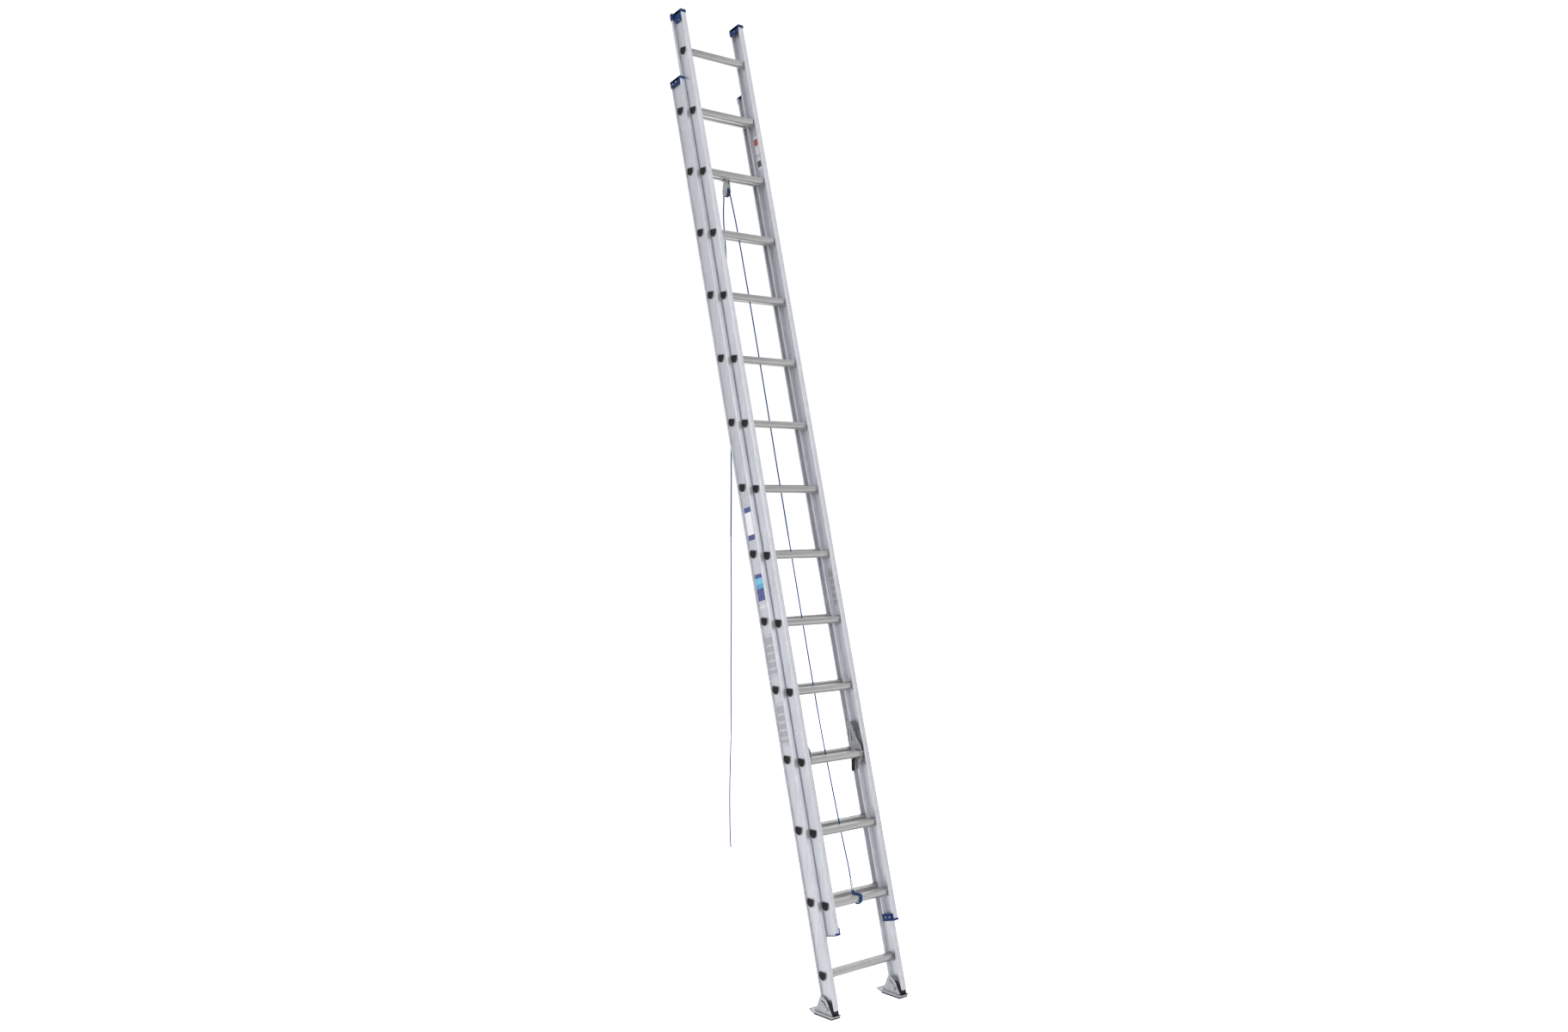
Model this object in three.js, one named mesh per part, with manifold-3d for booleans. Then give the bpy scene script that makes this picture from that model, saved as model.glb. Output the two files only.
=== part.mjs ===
// Two-section aluminium extension ladder, leaning as it stands against a wall. Millimetres, +Z up.
// X runs along the rungs, the wall is towards +Y and the climber stands on the -Y side.
// Ladder coordinates: u along the rungs, s up the rails from base rung 1, n towards the climber.
import * as THREE from "three";
import Module from "manifold-3d";

const wasm = await Module();
wasm.setup();

const LEAN = THREE.MathUtils.degToRad(14.5);
const RUNG_COUNT = 14;
const RUNG_PITCH = 304.8;
const GAP = 0.3;

const BASE_WIDTH = 435;
const BASE_BOTTOM = -148;
const BASE_TOP = 4117;
const BASE_BACK = -31;
const BASE_FRONT = 42.5;

const FLY_WIDTH = 381;
const FLY_DROP = 22;
const FLY_N = 64.5;
const FLY_BACK = 27.5;
const FLY_FRONT = 95;
const FLY_BOTTOM = 157.8;
const FLY_TOP = 4441;
const FLY_EDGE = (BASE_WIDTH - FLY_WIDTH) / 2;

const WALL = 2.4;
const FLANGE = 26;
const RUNG_HALF = 18.5;
const RUNG_WALL = 2;

const SHOE_PIVOT_S = -137;
const SHOE_PIVOT_N = -4;
const FLOOR_Z = -170;

const LOCK_PIVOT_N = 38;
const LOCK_PIVOT_S = 1030;
const FLIPPER_PIVOT_N = 43;
const FLIPPER_PIVOT_S = 874;
const LOCK_PLATE_W = 36;
const LOCK_HOOK_W = 55;
const LOCK_HOOK_WIDTH = 9;
const LOCK_CHEEK_W = 66.5;
const FLIPPER_W = 74;
const FLIPPER_WIDTH = 14;

const PULLEY_X = -12;
const WHEEL_RADIUS = 22;
const GROOVE_RADIUS = 16.8;
const ROPE_RADIUS = 3;
const ROPE_END_Z = 340;

const ALONG_U = new THREE.Vector3(1, 0, 0);
const ALONG_S = new THREE.Vector3(0, Math.sin(LEAN), Math.cos(LEAN));
const ALONG_N = new THREE.Vector3(0, -Math.cos(LEAN), Math.sin(LEAN));
const WORLD_Y = new THREE.Vector3(0, 1, 0);
const WORLD_Z = new THREE.Vector3(0, 0, 1);

const FINISH = {
  rail: [0xc3c7cc, 0.38, 0.9],
  rung: [0xc9c7c2, 0.34, 0.9],
  cap: [0x15308f, 0.45, 0],
  shoe: [0xb9bcc0, 0.42, 0.9],
  pad: [0x17181a, 0.85, 0],
  zinc: [0xb4b6b8, 0.35, 1],
  lock: [0xa9abae, 0.45, 0.9],
  black: [0x141416, 0.6, 0],
  wheel: [0x3a3c40, 0.5, 0.4],
  rope: [0x1f5fc4, 0.75, 0],
};

const group = new THREE.Group();
group.name = "extension_ladder";

function add(name, finish, geometry) {
  const [color, roughness, metalness] = FINISH[finish];
  const mesh = new THREE.Mesh(geometry, new THREE.MeshStandardMaterial({ color, roughness, metalness }));
  mesh.name = name;
  group.add(mesh);
}

// A point given in ladder coordinates.
function at(u, s, n) {
  return new THREE.Vector3(u, 0, 0).addScaledVector(ALONG_S, s).addScaledVector(ALONG_N, n);
}

function outline(points, holes = []) {
  const shape = new THREE.Shape(points.map(([x, y]) => new THREE.Vector2(x, y)));
  for (const hole of holes) {
    shape.holes.push(new THREE.Path(hole.map(([x, y]) => new THREE.Vector2(x, y))));
  }
  return shape;
}

function extrude(shape, from, to, xAxis, yAxis, zAxis) {
  const geometry = new THREE.ExtrudeGeometry(shape, { depth: to - from, bevelEnabled: false });
  geometry.translate(0, 0, from);
  return geometry.applyMatrix4(new THREE.Matrix4().makeBasis(xAxis, yAxis, zAxis));
}

// Section points are (u, n); the piece runs along the rails.
function alongRails(points, from, to) {
  const back = ALONG_N.clone().negate();
  return extrude(outline(points.map(([u, n]) => [u, -n])), from, to, ALONG_U, back, ALONG_S);
}

// Profile points are (n, s); the piece runs across the ladder.
function acrossLadder(points, from, to, holes = []) {
  const turn = (list) => list.map(([n, s]) => [-n, s]);
  const back = ALONG_N.clone().negate();
  return extrude(outline(turn(points), holes.map(turn)), from, to, back, ALONG_S, ALONG_U);
}

// Profile points are (y, z); the piece runs across the ladder.
function acrossLevel(points, from, to, holes = []) {
  return extrude(outline(points, holes), from, to, WORLD_Y, WORLD_Z, ALONG_U);
}

function circle(x, y, radius, count = 16) {
  const points = [];
  for (let i = 0; i < count; i += 1) {
    const angle = (2 * Math.PI * (i + 0.5)) / count;
    points.push([x + radius * Math.cos(angle), y + radius * Math.sin(angle)]);
  }
  return points;
}

function mirrored(points, side) {
  return points.map(([w, n]) => [side * (BASE_WIDTH / 2 - w), n]);
}

// ---- solid joins and cuts ----

function toSolid(geometry) {
  const plain = geometry.index ? geometry.toNonIndexed() : geometry;
  const solid = new wasm.Mesh({
    numProp: 3,
    vertProperties: new Float32Array(plain.attributes.position.array),
    triVerts: Uint32Array.from({ length: plain.attributes.position.count }, (_, i) => i),
  });
  solid.merge();
  return new wasm.Manifold(solid);
}

function toGeometry(solid) {
  const mesh = solid.getMesh();
  const geometry = new THREE.BufferGeometry();
  geometry.setAttribute("position", new THREE.BufferAttribute(new Float32Array(mesh.vertProperties), 3));
  geometry.setIndex(new THREE.BufferAttribute(new Uint32Array(mesh.triVerts), 1));
  const flat = geometry.toNonIndexed();
  flat.computeVertexNormals();
  return flat;
}

function join(...geometries) {
  return toGeometry(geometries.map(toSolid).reduce((a, b) => a.add(b)));
}

function cut(geometry, ...tools) {
  return toGeometry(tools.map(toSolid).reduce((a, b) => a.subtract(b), toSolid(geometry)));
}

// ---- rungs ----

// D section, level tread on top: (y, z) about the rung axis, grown outwards by grow.
function rungSection(grow) {
  const half = RUNG_HALF + grow;
  const points = [
    [-15.5 - grow * 0.6, 12.5 + grow],
    [15.5 + grow * 0.6, 12.5 + grow],
    [half, 9.5 + grow * 0.6],
  ];
  for (let i = 0; i <= 5; i += 1) {
    const angle = (-Math.PI * i) / 5;
    points.push([half * Math.cos(angle), -1 + half * Math.sin(angle)]);
  }
  points.push([-half, 9.5 + grow * 0.6]);
  return points;
}

function ringMesh(stations, centre) {
  const rings = stations.map(([x, grow]) =>
    rungSection(grow).map(([y, z]) => [x, centre.y + y, centre.z + z]));
  const count = rings[0].length;
  const positions = rings.flat(2);
  const index = [];
  for (let r = 0; r < rings.length; r += 1) {
    const next = (r + 1) % rings.length;
    for (let i = 0; i < count; i += 1) {
      const j = (i + 1) % count;
      const a = r * count + i;
      const b = r * count + j;
      const c = next * count + j;
      const d = next * count + i;
      index.push(a, b, c, a, c, d);
    }
  }
  const geometry = new THREE.BufferGeometry();
  geometry.setAttribute("position", new THREE.Float32BufferAttribute(positions, 3));
  geometry.setIndex(index);
  const flat = geometry.toNonIndexed();
  flat.computeVertexNormals();
  return flat;
}

// Hollow rung, swaged into a collar outside each rail web.
function rung(centre, webOutside) {
  const tip = webOutside + 3.2;
  const outer = webOutside + GAP;
  const half = [[tip, 2.6], [outer, 3.6], [outer, 0]];
  const mirror = [...half].reverse().map(([x, grow]) => [-x, grow]);
  const bore = [[-tip, -RUNG_WALL], [tip, -RUNG_WALL]];
  return ringMesh([...half, ...mirror, ...bore], centre);
}

function baseRungAxis(i) {
  return at(0, RUNG_PITCH * (i - 1), 0);
}

function flyRungAxis(i) {
  return at(0, RUNG_PITCH * i - FLY_DROP, FLY_N);
}

// ---- rails ----

// Base channel seen along the rail: w inwards from the outer edge, n towards the climber.
function baseRailSection() {
  const back = BASE_BACK;
  const front = BASE_FRONT;
  const web = 7;
  return [
    [0, back], [FLANGE, back], [FLANGE, back + 7], [FLANGE - WALL, back + 7],
    [FLANGE - WALL, back + WALL], [web + WALL, back + WALL], [web + WALL, front - WALL],
    [FLANGE - WALL, front - WALL], [FLANGE - WALL, front - 9], [FLANGE, front - 9],
    [FLANGE, front], [0, front], [0, front - 6], [WALL, front - 6], [WALL, front - WALL],
    [web, front - WALL], [web, back + WALL], [WALL, back + WALL], [WALL, back + 6], [0, back + 6],
  ];
}

// Fly channel: its back flange reaches outwards and hooks behind the base rail's front flange.
function flyRailSection() {
  const web = FLY_EDGE + 2.5;
  const edge = FLY_EDGE + FLANGE + 1;
  return [
    [16, FLY_BACK], [edge - 3, FLY_BACK], [edge - 3, FLY_BACK + 7], [edge - 3 - WALL, FLY_BACK + 7],
    [edge - 3 - WALL, FLY_BACK + WALL], [web + WALL, FLY_BACK + WALL], [web + WALL, FLY_FRONT - WALL],
    [edge - WALL, FLY_FRONT - WALL], [edge - WALL, FLY_FRONT - 8], [edge, FLY_FRONT - 8],
    [edge, FLY_FRONT], [FLY_EDGE, FLY_FRONT], [FLY_EDGE, FLY_FRONT - 6], [web, FLY_FRONT - 6],
    [web, FLY_BACK + WALL], [16 + WALL, FLY_BACK + WALL], [16 + WALL, FLY_BACK + 10.5],
    [16, FLY_BACK + 10.5],
  ];
}

function rungHole(centre, x) {
  const section = rungSection(GAP).map(([y, z]) => [centre.y + y, centre.z + z]);
  return acrossLevel(section, x - 6, x + 6);
}

function baseRail(side) {
  const x = side * (BASE_WIDTH / 2 - 8.2);
  const blank = alongRails(mirrored(baseRailSection(), side), BASE_BOTTOM, BASE_TOP);
  const holes = [];
  for (let i = 1; i <= RUNG_COUNT; i += 1) {
    holes.push(rungHole(baseRungAxis(i), x));
  }
  const bolt = acrossLadder(circle(SHOE_PIVOT_N, SHOE_PIVOT_S, 5.3), x - 9, x + 9);
  return cut(blank, ...holes, bolt);
}

function flyRail(side) {
  const x = side * (BASE_WIDTH / 2 - FLY_EDGE - 3.7);
  const blank = alongRails(mirrored(flyRailSection(), side), FLY_BOTTOM, FLY_TOP);
  const holes = [];
  for (let i = 1; i <= RUNG_COUNT; i += 1) {
    holes.push(rungHole(flyRungAxis(i), x));
  }
  return cut(blank, ...holes);
}

// ---- plastic rail caps ----

// Base top cap: open towards the inside of the ladder and notched so the fly rail can slide past.
function baseTopCap(side) {
  const lowW = -2.4;
  const highW = FLANGE + 0.8;
  const back = BASE_BACK - 2.4;
  const front = BASE_FRONT + 2.4;
  const skirt = [
    [lowW, back], [highW, back], [highW, back + 2.1], [lowW + 2.1, back + 2.1],
    [lowW + 2.1, front - 8], [lowW, front - 8],
  ];
  const rim = [
    [lowW, back], [highW, back], [highW, back + 2.1], [lowW + 2.1, back + 2.1],
    [lowW + 2.1, front - 2.1], [highW, front - 2.1], [highW, front], [lowW, front],
  ];
  const lid = [
    [lowW, back], [highW, back], [highW, 25], [14, 25],
    [14, front - 3.8], [highW, front - 3.8], [highW, front], [lowW, front],
  ];
  return join(
    alongRails(mirrored(skirt, side), BASE_TOP - 30, BASE_TOP + 2),
    alongRails(mirrored(rim, side), BASE_TOP - 9, BASE_TOP + 2),
    alongRails(mirrored(lid, side), BASE_TOP + GAP, BASE_TOP + 3.6),
  );
}

// Fly top cap: a tall skirt on the outer web, a shorter one on the back and inner sides and a
// low rim over the front flange.
function flyTopCap(side) {
  const lowW = FLY_EDGE - 2.4;
  const highW = FLY_EDGE + FLANGE + 3.4;
  const back = FLY_BACK - 2.4;
  const front = FLY_FRONT + 2.4;
  const outer = [
    [lowW, 46], [lowW + 2.1, 46], [lowW + 2.1, front - 8], [lowW, front - 8],
  ];
  const outline = [
    [13.6, back], [highW, back], [highW, front], [lowW, front], [lowW, 40.4], [13.6, 40.4],
  ];
  const inside = [
    [15.7, back + 2.1], [highW - 2.1, back + 2.1], [highW - 2.1, front - 2.1],
    [lowW + 2.1, front - 2.1], [lowW + 2.1, 38.3], [15.7, 38.3],
  ];
  const frontOpening = [
    [lowW - 1, front - 8], [highW - 8, front - 8], [highW - 8, front + 1], [lowW - 1, front + 1],
  ];
  const sleeve = cut(
    alongRails(mirrored(outline, side), FLY_TOP - 30, FLY_TOP + 3.6),
    alongRails(mirrored(inside, side), FLY_TOP - 31, FLY_TOP + GAP),
    alongRails(mirrored(frontOpening, side), FLY_TOP - 31, FLY_TOP - 11),
  );
  return join(alongRails(mirrored(outer, side), FLY_TOP - 54, FLY_TOP + 2), sleeve);
}

// Fly bottom cap: a skirt on the inner side and a low rim over the front flange, clear of the base
// rail behind it.
function flyBottomCap(side) {
  const lowW = FLY_EDGE - 0.8;
  const highW = FLY_EDGE + FLANGE + 3.4;
  const front = FLY_FRONT + 2.4;
  const inner = [
    [highW - 2.1, FLY_BACK], [highW, FLY_BACK], [highW, front], [highW - 2.1, front],
  ];
  const rim = [
    [lowW, front - 2.1], [highW - 1, front - 2.1], [highW - 1, front], [lowW, front],
  ];
  const lid = [
    [FLY_EDGE + 1.4, FLY_BACK], [highW, FLY_BACK], [highW, front], [lowW, front], [lowW, 48],
    [FLY_EDGE + 1.4, 48],
  ];
  return join(
    alongRails(mirrored(inner, side), FLY_BOTTOM - 2, FLY_BOTTOM + 28),
    alongRails(mirrored(rim, side), FLY_BOTTOM - 2, FLY_BOTTOM + 6),
    alongRails(mirrored(lid, side), FLY_BOTTOM - 3.6, FLY_BOTTOM - GAP),
  );
}

// ---- swivel shoes ----

const SHOE_PIVOT = at(0, SHOE_PIVOT_S, SHOE_PIVOT_N);

// Profile points of the shoe are (y, z) from the pivot, with the shoe flat on the floor.
function fromShoePivot(points) {
  return points.map(([y, z]) => [SHOE_PIVOT.y + y, SHOE_PIVOT.z + z]);
}

function arc(centre, radius, from, to, steps) {
  const points = [];
  for (let i = 0; i <= steps; i += 1) {
    const angle = THREE.MathUtils.degToRad(from + ((to - from) * i) / steps);
    points.push([centre[0] + radius * Math.cos(angle), centre[1] + radius * Math.sin(angle)]);
  }
  return points;
}

const SHOE_ARC = [33, -5];

function shoeCheek() {
  return [
    [-39, -22], [77, -22], [65, -11], [55, 7], [47, 27], [41, 41], [38, 45.5],
    ...arc(SHOE_ARC, 52, 90, 166, 7),
  ];
}

function shoe(side) {
  const floor = FLOOR_Z - SHOE_PIVOT.z;
  const slot = [...arc(SHOE_ARC, 36.6, 94, 150, 6), ...arc(SHOE_ARC, 31.4, 150, 94, 6)];
  const holes = [fromShoePivot(circle(0, 0, 5.3)), fromShoePivot(slot)];
  const cheek = (w) => {
    const edges = [side * (BASE_WIDTH / 2 - w), side * (BASE_WIDTH / 2 - w - 3)].sort((a, b) => a - b);
    return acrossLevel(fromShoePivot(shoeCheek()), edges[0], edges[1], holes);
  };
  const sole = fromShoePivot([
    [-45, floor + 7], [77, floor + 7], [89, floor + 10], [99, floor + 16],
    [97, floor + 19], [88, floor + 16], [77, floor + 15], [-45, floor + 15],
  ]);
  const left = side * (BASE_WIDTH / 2 + 14);
  const right = side * (BASE_WIDTH / 2 - 40);
  const plate = acrossLevel(sole, Math.min(left, right), Math.max(left, right));
  return join(cheek(-3.6), cheek(FLANGE + 0.6), plate);
}

function shoePad(side) {
  const floor = FLOOR_Z - SHOE_PIVOT.z;
  const top = floor + 7 - GAP;
  const profile = [[-41, top], [-43, floor + 3], [-40, floor]];
  for (let i = 0; i < 9; i += 1) {
    const y = -32 + i * 11;
    profile.push([y, floor], [y + 1.2, floor + 3], [y + 3.8, floor + 3], [y + 5, floor]);
  }
  profile.push([66, floor], [69, floor + 4], [69, top]);
  const left = side * (BASE_WIDTH / 2 + 12);
  const right = side * (BASE_WIDTH / 2 - 38);
  return acrossLevel(fromShoePivot(profile), Math.min(left, right), Math.max(left, right));
}

function turned(profile, centre, axis, count = 20) {
  const geometry = new THREE.LatheGeometry(profile.map(([r, h]) => new THREE.Vector2(r, h)), count);
  const turn = new THREE.Quaternion().setFromUnitVectors(new THREE.Vector3(0, 1, 0), axis);
  geometry.applyQuaternion(turn);
  return geometry.translate(centre.x, centre.y, centre.z);
}

function shoeBolt(side) {
  const centre = SHOE_PIVOT.clone().setX(side * (BASE_WIDTH / 2));
  const outward = new THREE.Vector3(side, 0, 0);
  const profile = [
    [0, -37], [7, -37], [8, -36], [8, -30.2], [5, -30.2], [5, 4], [8.5, 4], [8.5, 7.5],
    [6.5, 9], [0, 9],
  ];
  return turned(profile, centre, outward, 16);
}

// ---- rung locks, on fly rung 3 and resting on base rung 4 ----

function lockSpan(side, from, to) {
  const a = side * (BASE_WIDTH / 2 - from);
  const b = side * (BASE_WIDTH / 2 - to);
  return [Math.min(a, b), Math.max(a, b)];
}

// Fixed frame round the end of the fly rung: a plate by the web, a cheek inboard of the hook,
// the hook's pivot pin, a spacer and the flipper's peg.
function lockBracket(side) {
  const plate = [
    [33, 1040], [30.8, 1030], [30.8, 1000], [36, 960], [36, 852], [46, 850], [60, 836], [72, 852],
    [84, 888], [82, 930], [62, 990], [46, 1038], [40, 1042],
  ];
  const cheek = [
    [33, 1042], [29, 1034], [29, 1020], [31, 985], [25, 940], [23, 885], [30, 850], [38, 822],
    [46, 821], [70, 850], [89, 888], [90, 926], [70, 965], [48, 1036], [41, 1042],
  ];
  const window = [[40, 1006], [37, 950], [62, 950], [46, 1006]];
  const holeSection = rungSection(2.6).map(([y, z]) => {
    const axis = flyRungAxis(3);
    return [axis.y + y, axis.z + z];
  });
  const [low, high] = lockSpan(side, LOCK_PLATE_W, LOCK_PLATE_W + 3);
  const [cheekLow, cheekHigh] = lockSpan(side, LOCK_CHEEK_W, LOCK_CHEEK_W + 2.5);
  const hole = acrossLevel(holeSection, Math.min(low, cheekLow) - 2, Math.max(high, cheekHigh) + 2);
  const [pinLow, pinHigh] = lockSpan(side, LOCK_PLATE_W + 1, LOCK_CHEEK_W + 10);
  const pin = acrossLadder(circle(LOCK_PIVOT_N, LOCK_PIVOT_S, 3, 12), pinLow, pinHigh);
  const [spacerLow, spacerHigh] = lockSpan(side, LOCK_PLATE_W + 1, LOCK_CHEEK_W + 1);
  const spacer = acrossLadder(circle(58, 852, 4, 12), spacerLow, spacerHigh);
  const [pegLow, pegHigh] = lockSpan(side, LOCK_CHEEK_W + 1, FLIPPER_W + FLIPPER_WIDTH + 2);
  const peg = acrossLadder(circle(FLIPPER_PIVOT_N, FLIPPER_PIVOT_S, 3, 12), pegLow, pegHigh);
  return join(
    cut(acrossLadder(plate, low, high), hole),
    cut(
      acrossLadder(cheek, cheekLow, cheekHigh),
      hole,
      acrossLadder(window, cheekLow - 1, cheekHigh + 1),
    ),
    pin,
    spacer,
    peg,
  );
}

// Swinging hook: hangs from its pin and its toe bears on the front of the base rung's tread. The pin
// is plumb above the toe, so the hook swings forward off the rung without lifting.
function lockHook(side) {
  const profile = [
    [11, 925.1], [18, 923.1], [24, 918], [34, 913], [44, 913], [50, 920], [50, 940], [44, 1000],
    [46, 1026], [44, 1034], [38, 1038], [31, 1034], [29, 1026], [27, 1000], [24, 960], [18, 942],
    [11, 936],
  ];
  const [low, high] = lockSpan(side, LOCK_HOOK_W, LOCK_HOOK_W + LOCK_HOOK_WIDTH);
  const hole = circle(LOCK_PIVOT_N, LOCK_PIVOT_S, 3.3, 12);
  return cut(acrossLadder(profile, low, high), acrossLadder(hole, low - 1, high + 1));
}

// Black tongue hanging plumb from its peg under the fly rung.
function lockFlipper(side) {
  const centre = at(0, FLIPPER_PIVOT_S, FLIPPER_PIVOT_N);
  const outer = [
    [-6, 1], [-4, 5.4], [0, 7], [4, 5.4], [6, 1], [5.2, -30], [4.6, -54], [0, -58],
    [-4.6, -54], [-5.2, -30],
  ];
  const hole = circle(centre.y, centre.z, 3.3, 12);
  const [low, high] = lockSpan(side, FLIPPER_W, FLIPPER_W + FLIPPER_WIDTH);
  const blank = acrossLevel(outer.map(([y, z]) => [centre.y + y, centre.z + z]), low, high);
  return cut(blank, acrossLevel(hole, low - 1, high + 1));
}

// A smooth path whose steps follow its points, so they are close where the points are close.
class PointPacedCurve extends THREE.CatmullRomCurve3 {
  getPointAt(share, target) {
    return this.getPoint(share, target);
  }

  getTangentAt(share, target) {
    return this.getTangent(share, target);
  }
}

function wire(points, radius, sides, steps) {
  const path = new PointPacedCurve(points, false, "centripetal");
  const section = new THREE.Shape(circle(0, 0, radius, sides).map(([x, y]) => new THREE.Vector2(x, y)));
  return new THREE.ExtrudeGeometry(section, { steps, bevelEnabled: false, extrudePath: path });
}

// Return spring: a bent wire over the pivot, with one leg to the back and one to the front.
function lockSpring(side) {
  const u = side * (BASE_WIDTH / 2 - LOCK_CHEEK_W - 7);
  const points = [
    [15, 942], [22, 972], [28, 1004], [32, 1031], [38, 1036.5], [44, 1031], [58, 978], [84, 932],
  ];
  const legs = points.map(([n, s]) => at(u, s, n));
  return wire(legs, 1.2, 6, 26);
}

// ---- pulley on base rung 13 ----

const PULLEY_RUNG = baseRungAxis(13);
const EYE = new THREE.Vector3(PULLEY_X, PULLEY_RUNG.y - 22, PULLEY_RUNG.z - 26);
const WHEEL = new THREE.Vector3(PULLEY_X, EYE.y, PULLEY_RUNG.z - 76);

// Strap bent round the rung, with a rolled eye under its front edge.
function pulleyHanger() {
  const band = rungSection(3.4).map(([y, z]) => [PULLEY_RUNG.y + y, PULLEY_RUNG.z + z]);
  const inner = rungSection(0.5).map(([y, z]) => [PULLEY_RUNG.y + y, PULLEY_RUNG.z + z]);
  const tab = [[EYE.y - 6, EYE.z - 6], [EYE.y + 6, EYE.z - 6], [EYE.y + 9, EYE.z + 10], [EYE.y - 1, EYE.z + 22]];
  const low = PULLEY_X - 9;
  const high = PULLEY_X + 9;
  return cut(
    join(acrossLevel(band, low, high), acrossLevel(tab, low, high)),
    acrossLevel(inner, low - 1, high + 1),
    acrossLevel(circle(EYE.y, EYE.z, 3.3, 12), low - 1, high + 1),
  );
}

function pulleyBlock() {
  const outer = [
    [-7, 8], [7, 8], [10, 0], [15, -30], [17, -50], [13, -64], [0, -70], [-13, -64], [-17, -50],
    [-15, -30], [-10, 0],
  ].map(([y, z]) => [EYE.y + y, EYE.z + z]);
  const hole = [circle(WHEEL.y, WHEEL.z, 4.3, 12)];
  const left = acrossLevel(outer, PULLEY_X - 12, PULLEY_X - 9.6, hole);
  const right = acrossLevel(outer, PULLEY_X + 9.6, PULLEY_X + 12, hole);
  const pin = acrossLevel(circle(EYE.y, EYE.z, 3, 12), PULLEY_X - 11, PULLEY_X + 11);
  return join(left, right, pin);
}

function pulleyWheel() {
  const profile = [
    [0, -7.5], [WHEEL_RADIUS, -7.5], [WHEEL_RADIUS, -6], [GROOVE_RADIUS + 1.5, -3.2], [GROOVE_RADIUS, 0],
    [GROOVE_RADIUS + 1.5, 3.2], [WHEEL_RADIUS, 6], [WHEEL_RADIUS, 7.5], [0, 7.5],
  ];
  const bore = acrossLevel(circle(WHEEL.y, WHEEL.z, 4.3, 12), PULLEY_X - 9, PULLEY_X + 9);
  return cut(turned(profile, WHEEL, ALONG_U, 24), bore);
}

function pulleyAxle() {
  const profile = [
    [0, -15], [6, -15], [6, -12.3], [4, -12.3], [4, 12.3], [6, 12.3], [6, 15], [0, 15],
  ];
  return turned(profile, WHEEL, ALONG_U, 12);
}

// ---- rope ----

const WRAP_RADIUS = GROOVE_RADIUS + ROPE_RADIUS + 0.8;
const TIE_AXIS = flyRungAxis(1);
const FERRULE_LOW = 318;
const FERRULE_HIGH = 366;

// Lift run: from the front of the wheel down between the two sections to the crimped sleeve.
function liftRun() {
  const low = at(0, FERRULE_HIGH + GAP, 42);
  const top = WHEEL.clone().addScaledVector(ALONG_N, WRAP_RADIUS).addScaledVector(ALONG_S, -0.8);
  const points = [
    top, at(-9, 3420, 28), at(-6, 3160, 28), at(-8, 2650, 29), at(-13, 2155, 30.5), at(-18, 1670, 33),
    at(-21, 1200, 35.5), at(-20, 970, 37), at(-14, 742, 39), at(-7, 540, 41), at(-1, 420, 42), low,
  ];
  return wire(points, ROPE_RADIUS, 8, 44);
}

// Free run: over the wheel and down behind the ladder, with the set of a rope that was coiled.
function freeRun() {
  const points = [];
  for (let i = 0; i <= 5; i += 1) {
    const angle = ((Math.PI - LEAN) * (5 - i)) / 5;
    points.push(new THREE.Vector3(
      PULLEY_X, WHEEL.y + WRAP_RADIUS * Math.cos(angle), WHEEL.z + WRAP_RADIUS * Math.sin(angle)));
  }
  const back = WHEEL.y + WRAP_RADIUS;
  points.push(new THREE.Vector3(PULLEY_X, back, WHEEL.z - 25));
  const drift = [[-13, 3350], [-2, 3230], [8, 3110], [20, 2900], [33, 2550], [40, 2160], [39, 1800],
    [42, 1500], [40, 1200], [41, 900], [34, 610], [36, 440], [41, ROPE_END_Z]];
  for (const [x, z] of drift) {
    points.push(new THREE.Vector3(x, back + (z < 3000 ? 4 : 1), z));
  }
  return wire(points, ROPE_RADIUS, 8, 72);
}

// Two turns round fly rung 1, both ends leaving upwards into the crimped sleeve.
function ropeTie() {
  const ring = [
    [23, 6], [20.9, 13], [15, 17], [0, 17], [-15, 17], [-20.9, 13], [-23, 6], [-23, -4],
    [-19.1, -15], [-9.6, -22.2], [0, -24], [9.6, -22.2], [19.1, -15], [23, -4],
  ];
  const points = [at(3.4, FERRULE_LOW - 1, 42)];
  for (let i = 0; i <= 28; i += 1) {
    const [y, z] = ring[i % 14];
    points.push(new THREE.Vector3(6.8 - i * 0.486, TIE_AXIS.y + y, TIE_AXIS.z + z));
  }
  points.push(at(-3.4, FERRULE_LOW - 1, 42));
  return wire(points, ROPE_RADIUS, 8, 62);
}

// Crimped sleeve with two shallow waists.
function ferrule() {
  const length = FERRULE_HIGH - FERRULE_LOW;
  const profile = [
    [0, 0], [5.6, 0], [6.6, 1.2], [6.6, 12], [5.6, 15], [5.6, 19], [6.6, 22], [6.6, 27], [5.6, 30],
    [5.6, 34], [6.6, 37], [6.6, length - 1.2], [5.6, length], [0, length],
  ];
  return turned(profile, at(0, FERRULE_LOW, 42), ALONG_S, 16);
}

// ---- assembly ----

for (const [side, name] of [[-1, "left"], [1, "right"]]) {
  add(`base_rail_${name}`, "rail", baseRail(side));
  add(`fly_rail_${name}`, "rail", flyRail(side));
  add(`base_top_cap_${name}`, "cap", baseTopCap(side));
  add(`fly_top_cap_${name}`, "cap", flyTopCap(side));
  add(`fly_bottom_cap_${name}`, "cap", flyBottomCap(side));
  add(`shoe_${name}`, "shoe", shoe(side));
  add(`shoe_pad_${name}`, "pad", shoePad(side));
  add(`shoe_bolt_${name}`, "zinc", shoeBolt(side));
  add(`lock_bracket_${name}`, "lock", lockBracket(side));
  add(`lock_hook_${name}`, "lock", lockHook(side));
  add(`lock_flipper_${name}`, "black", lockFlipper(side));
  add(`lock_spring_${name}`, "zinc", lockSpring(side));
}

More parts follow.
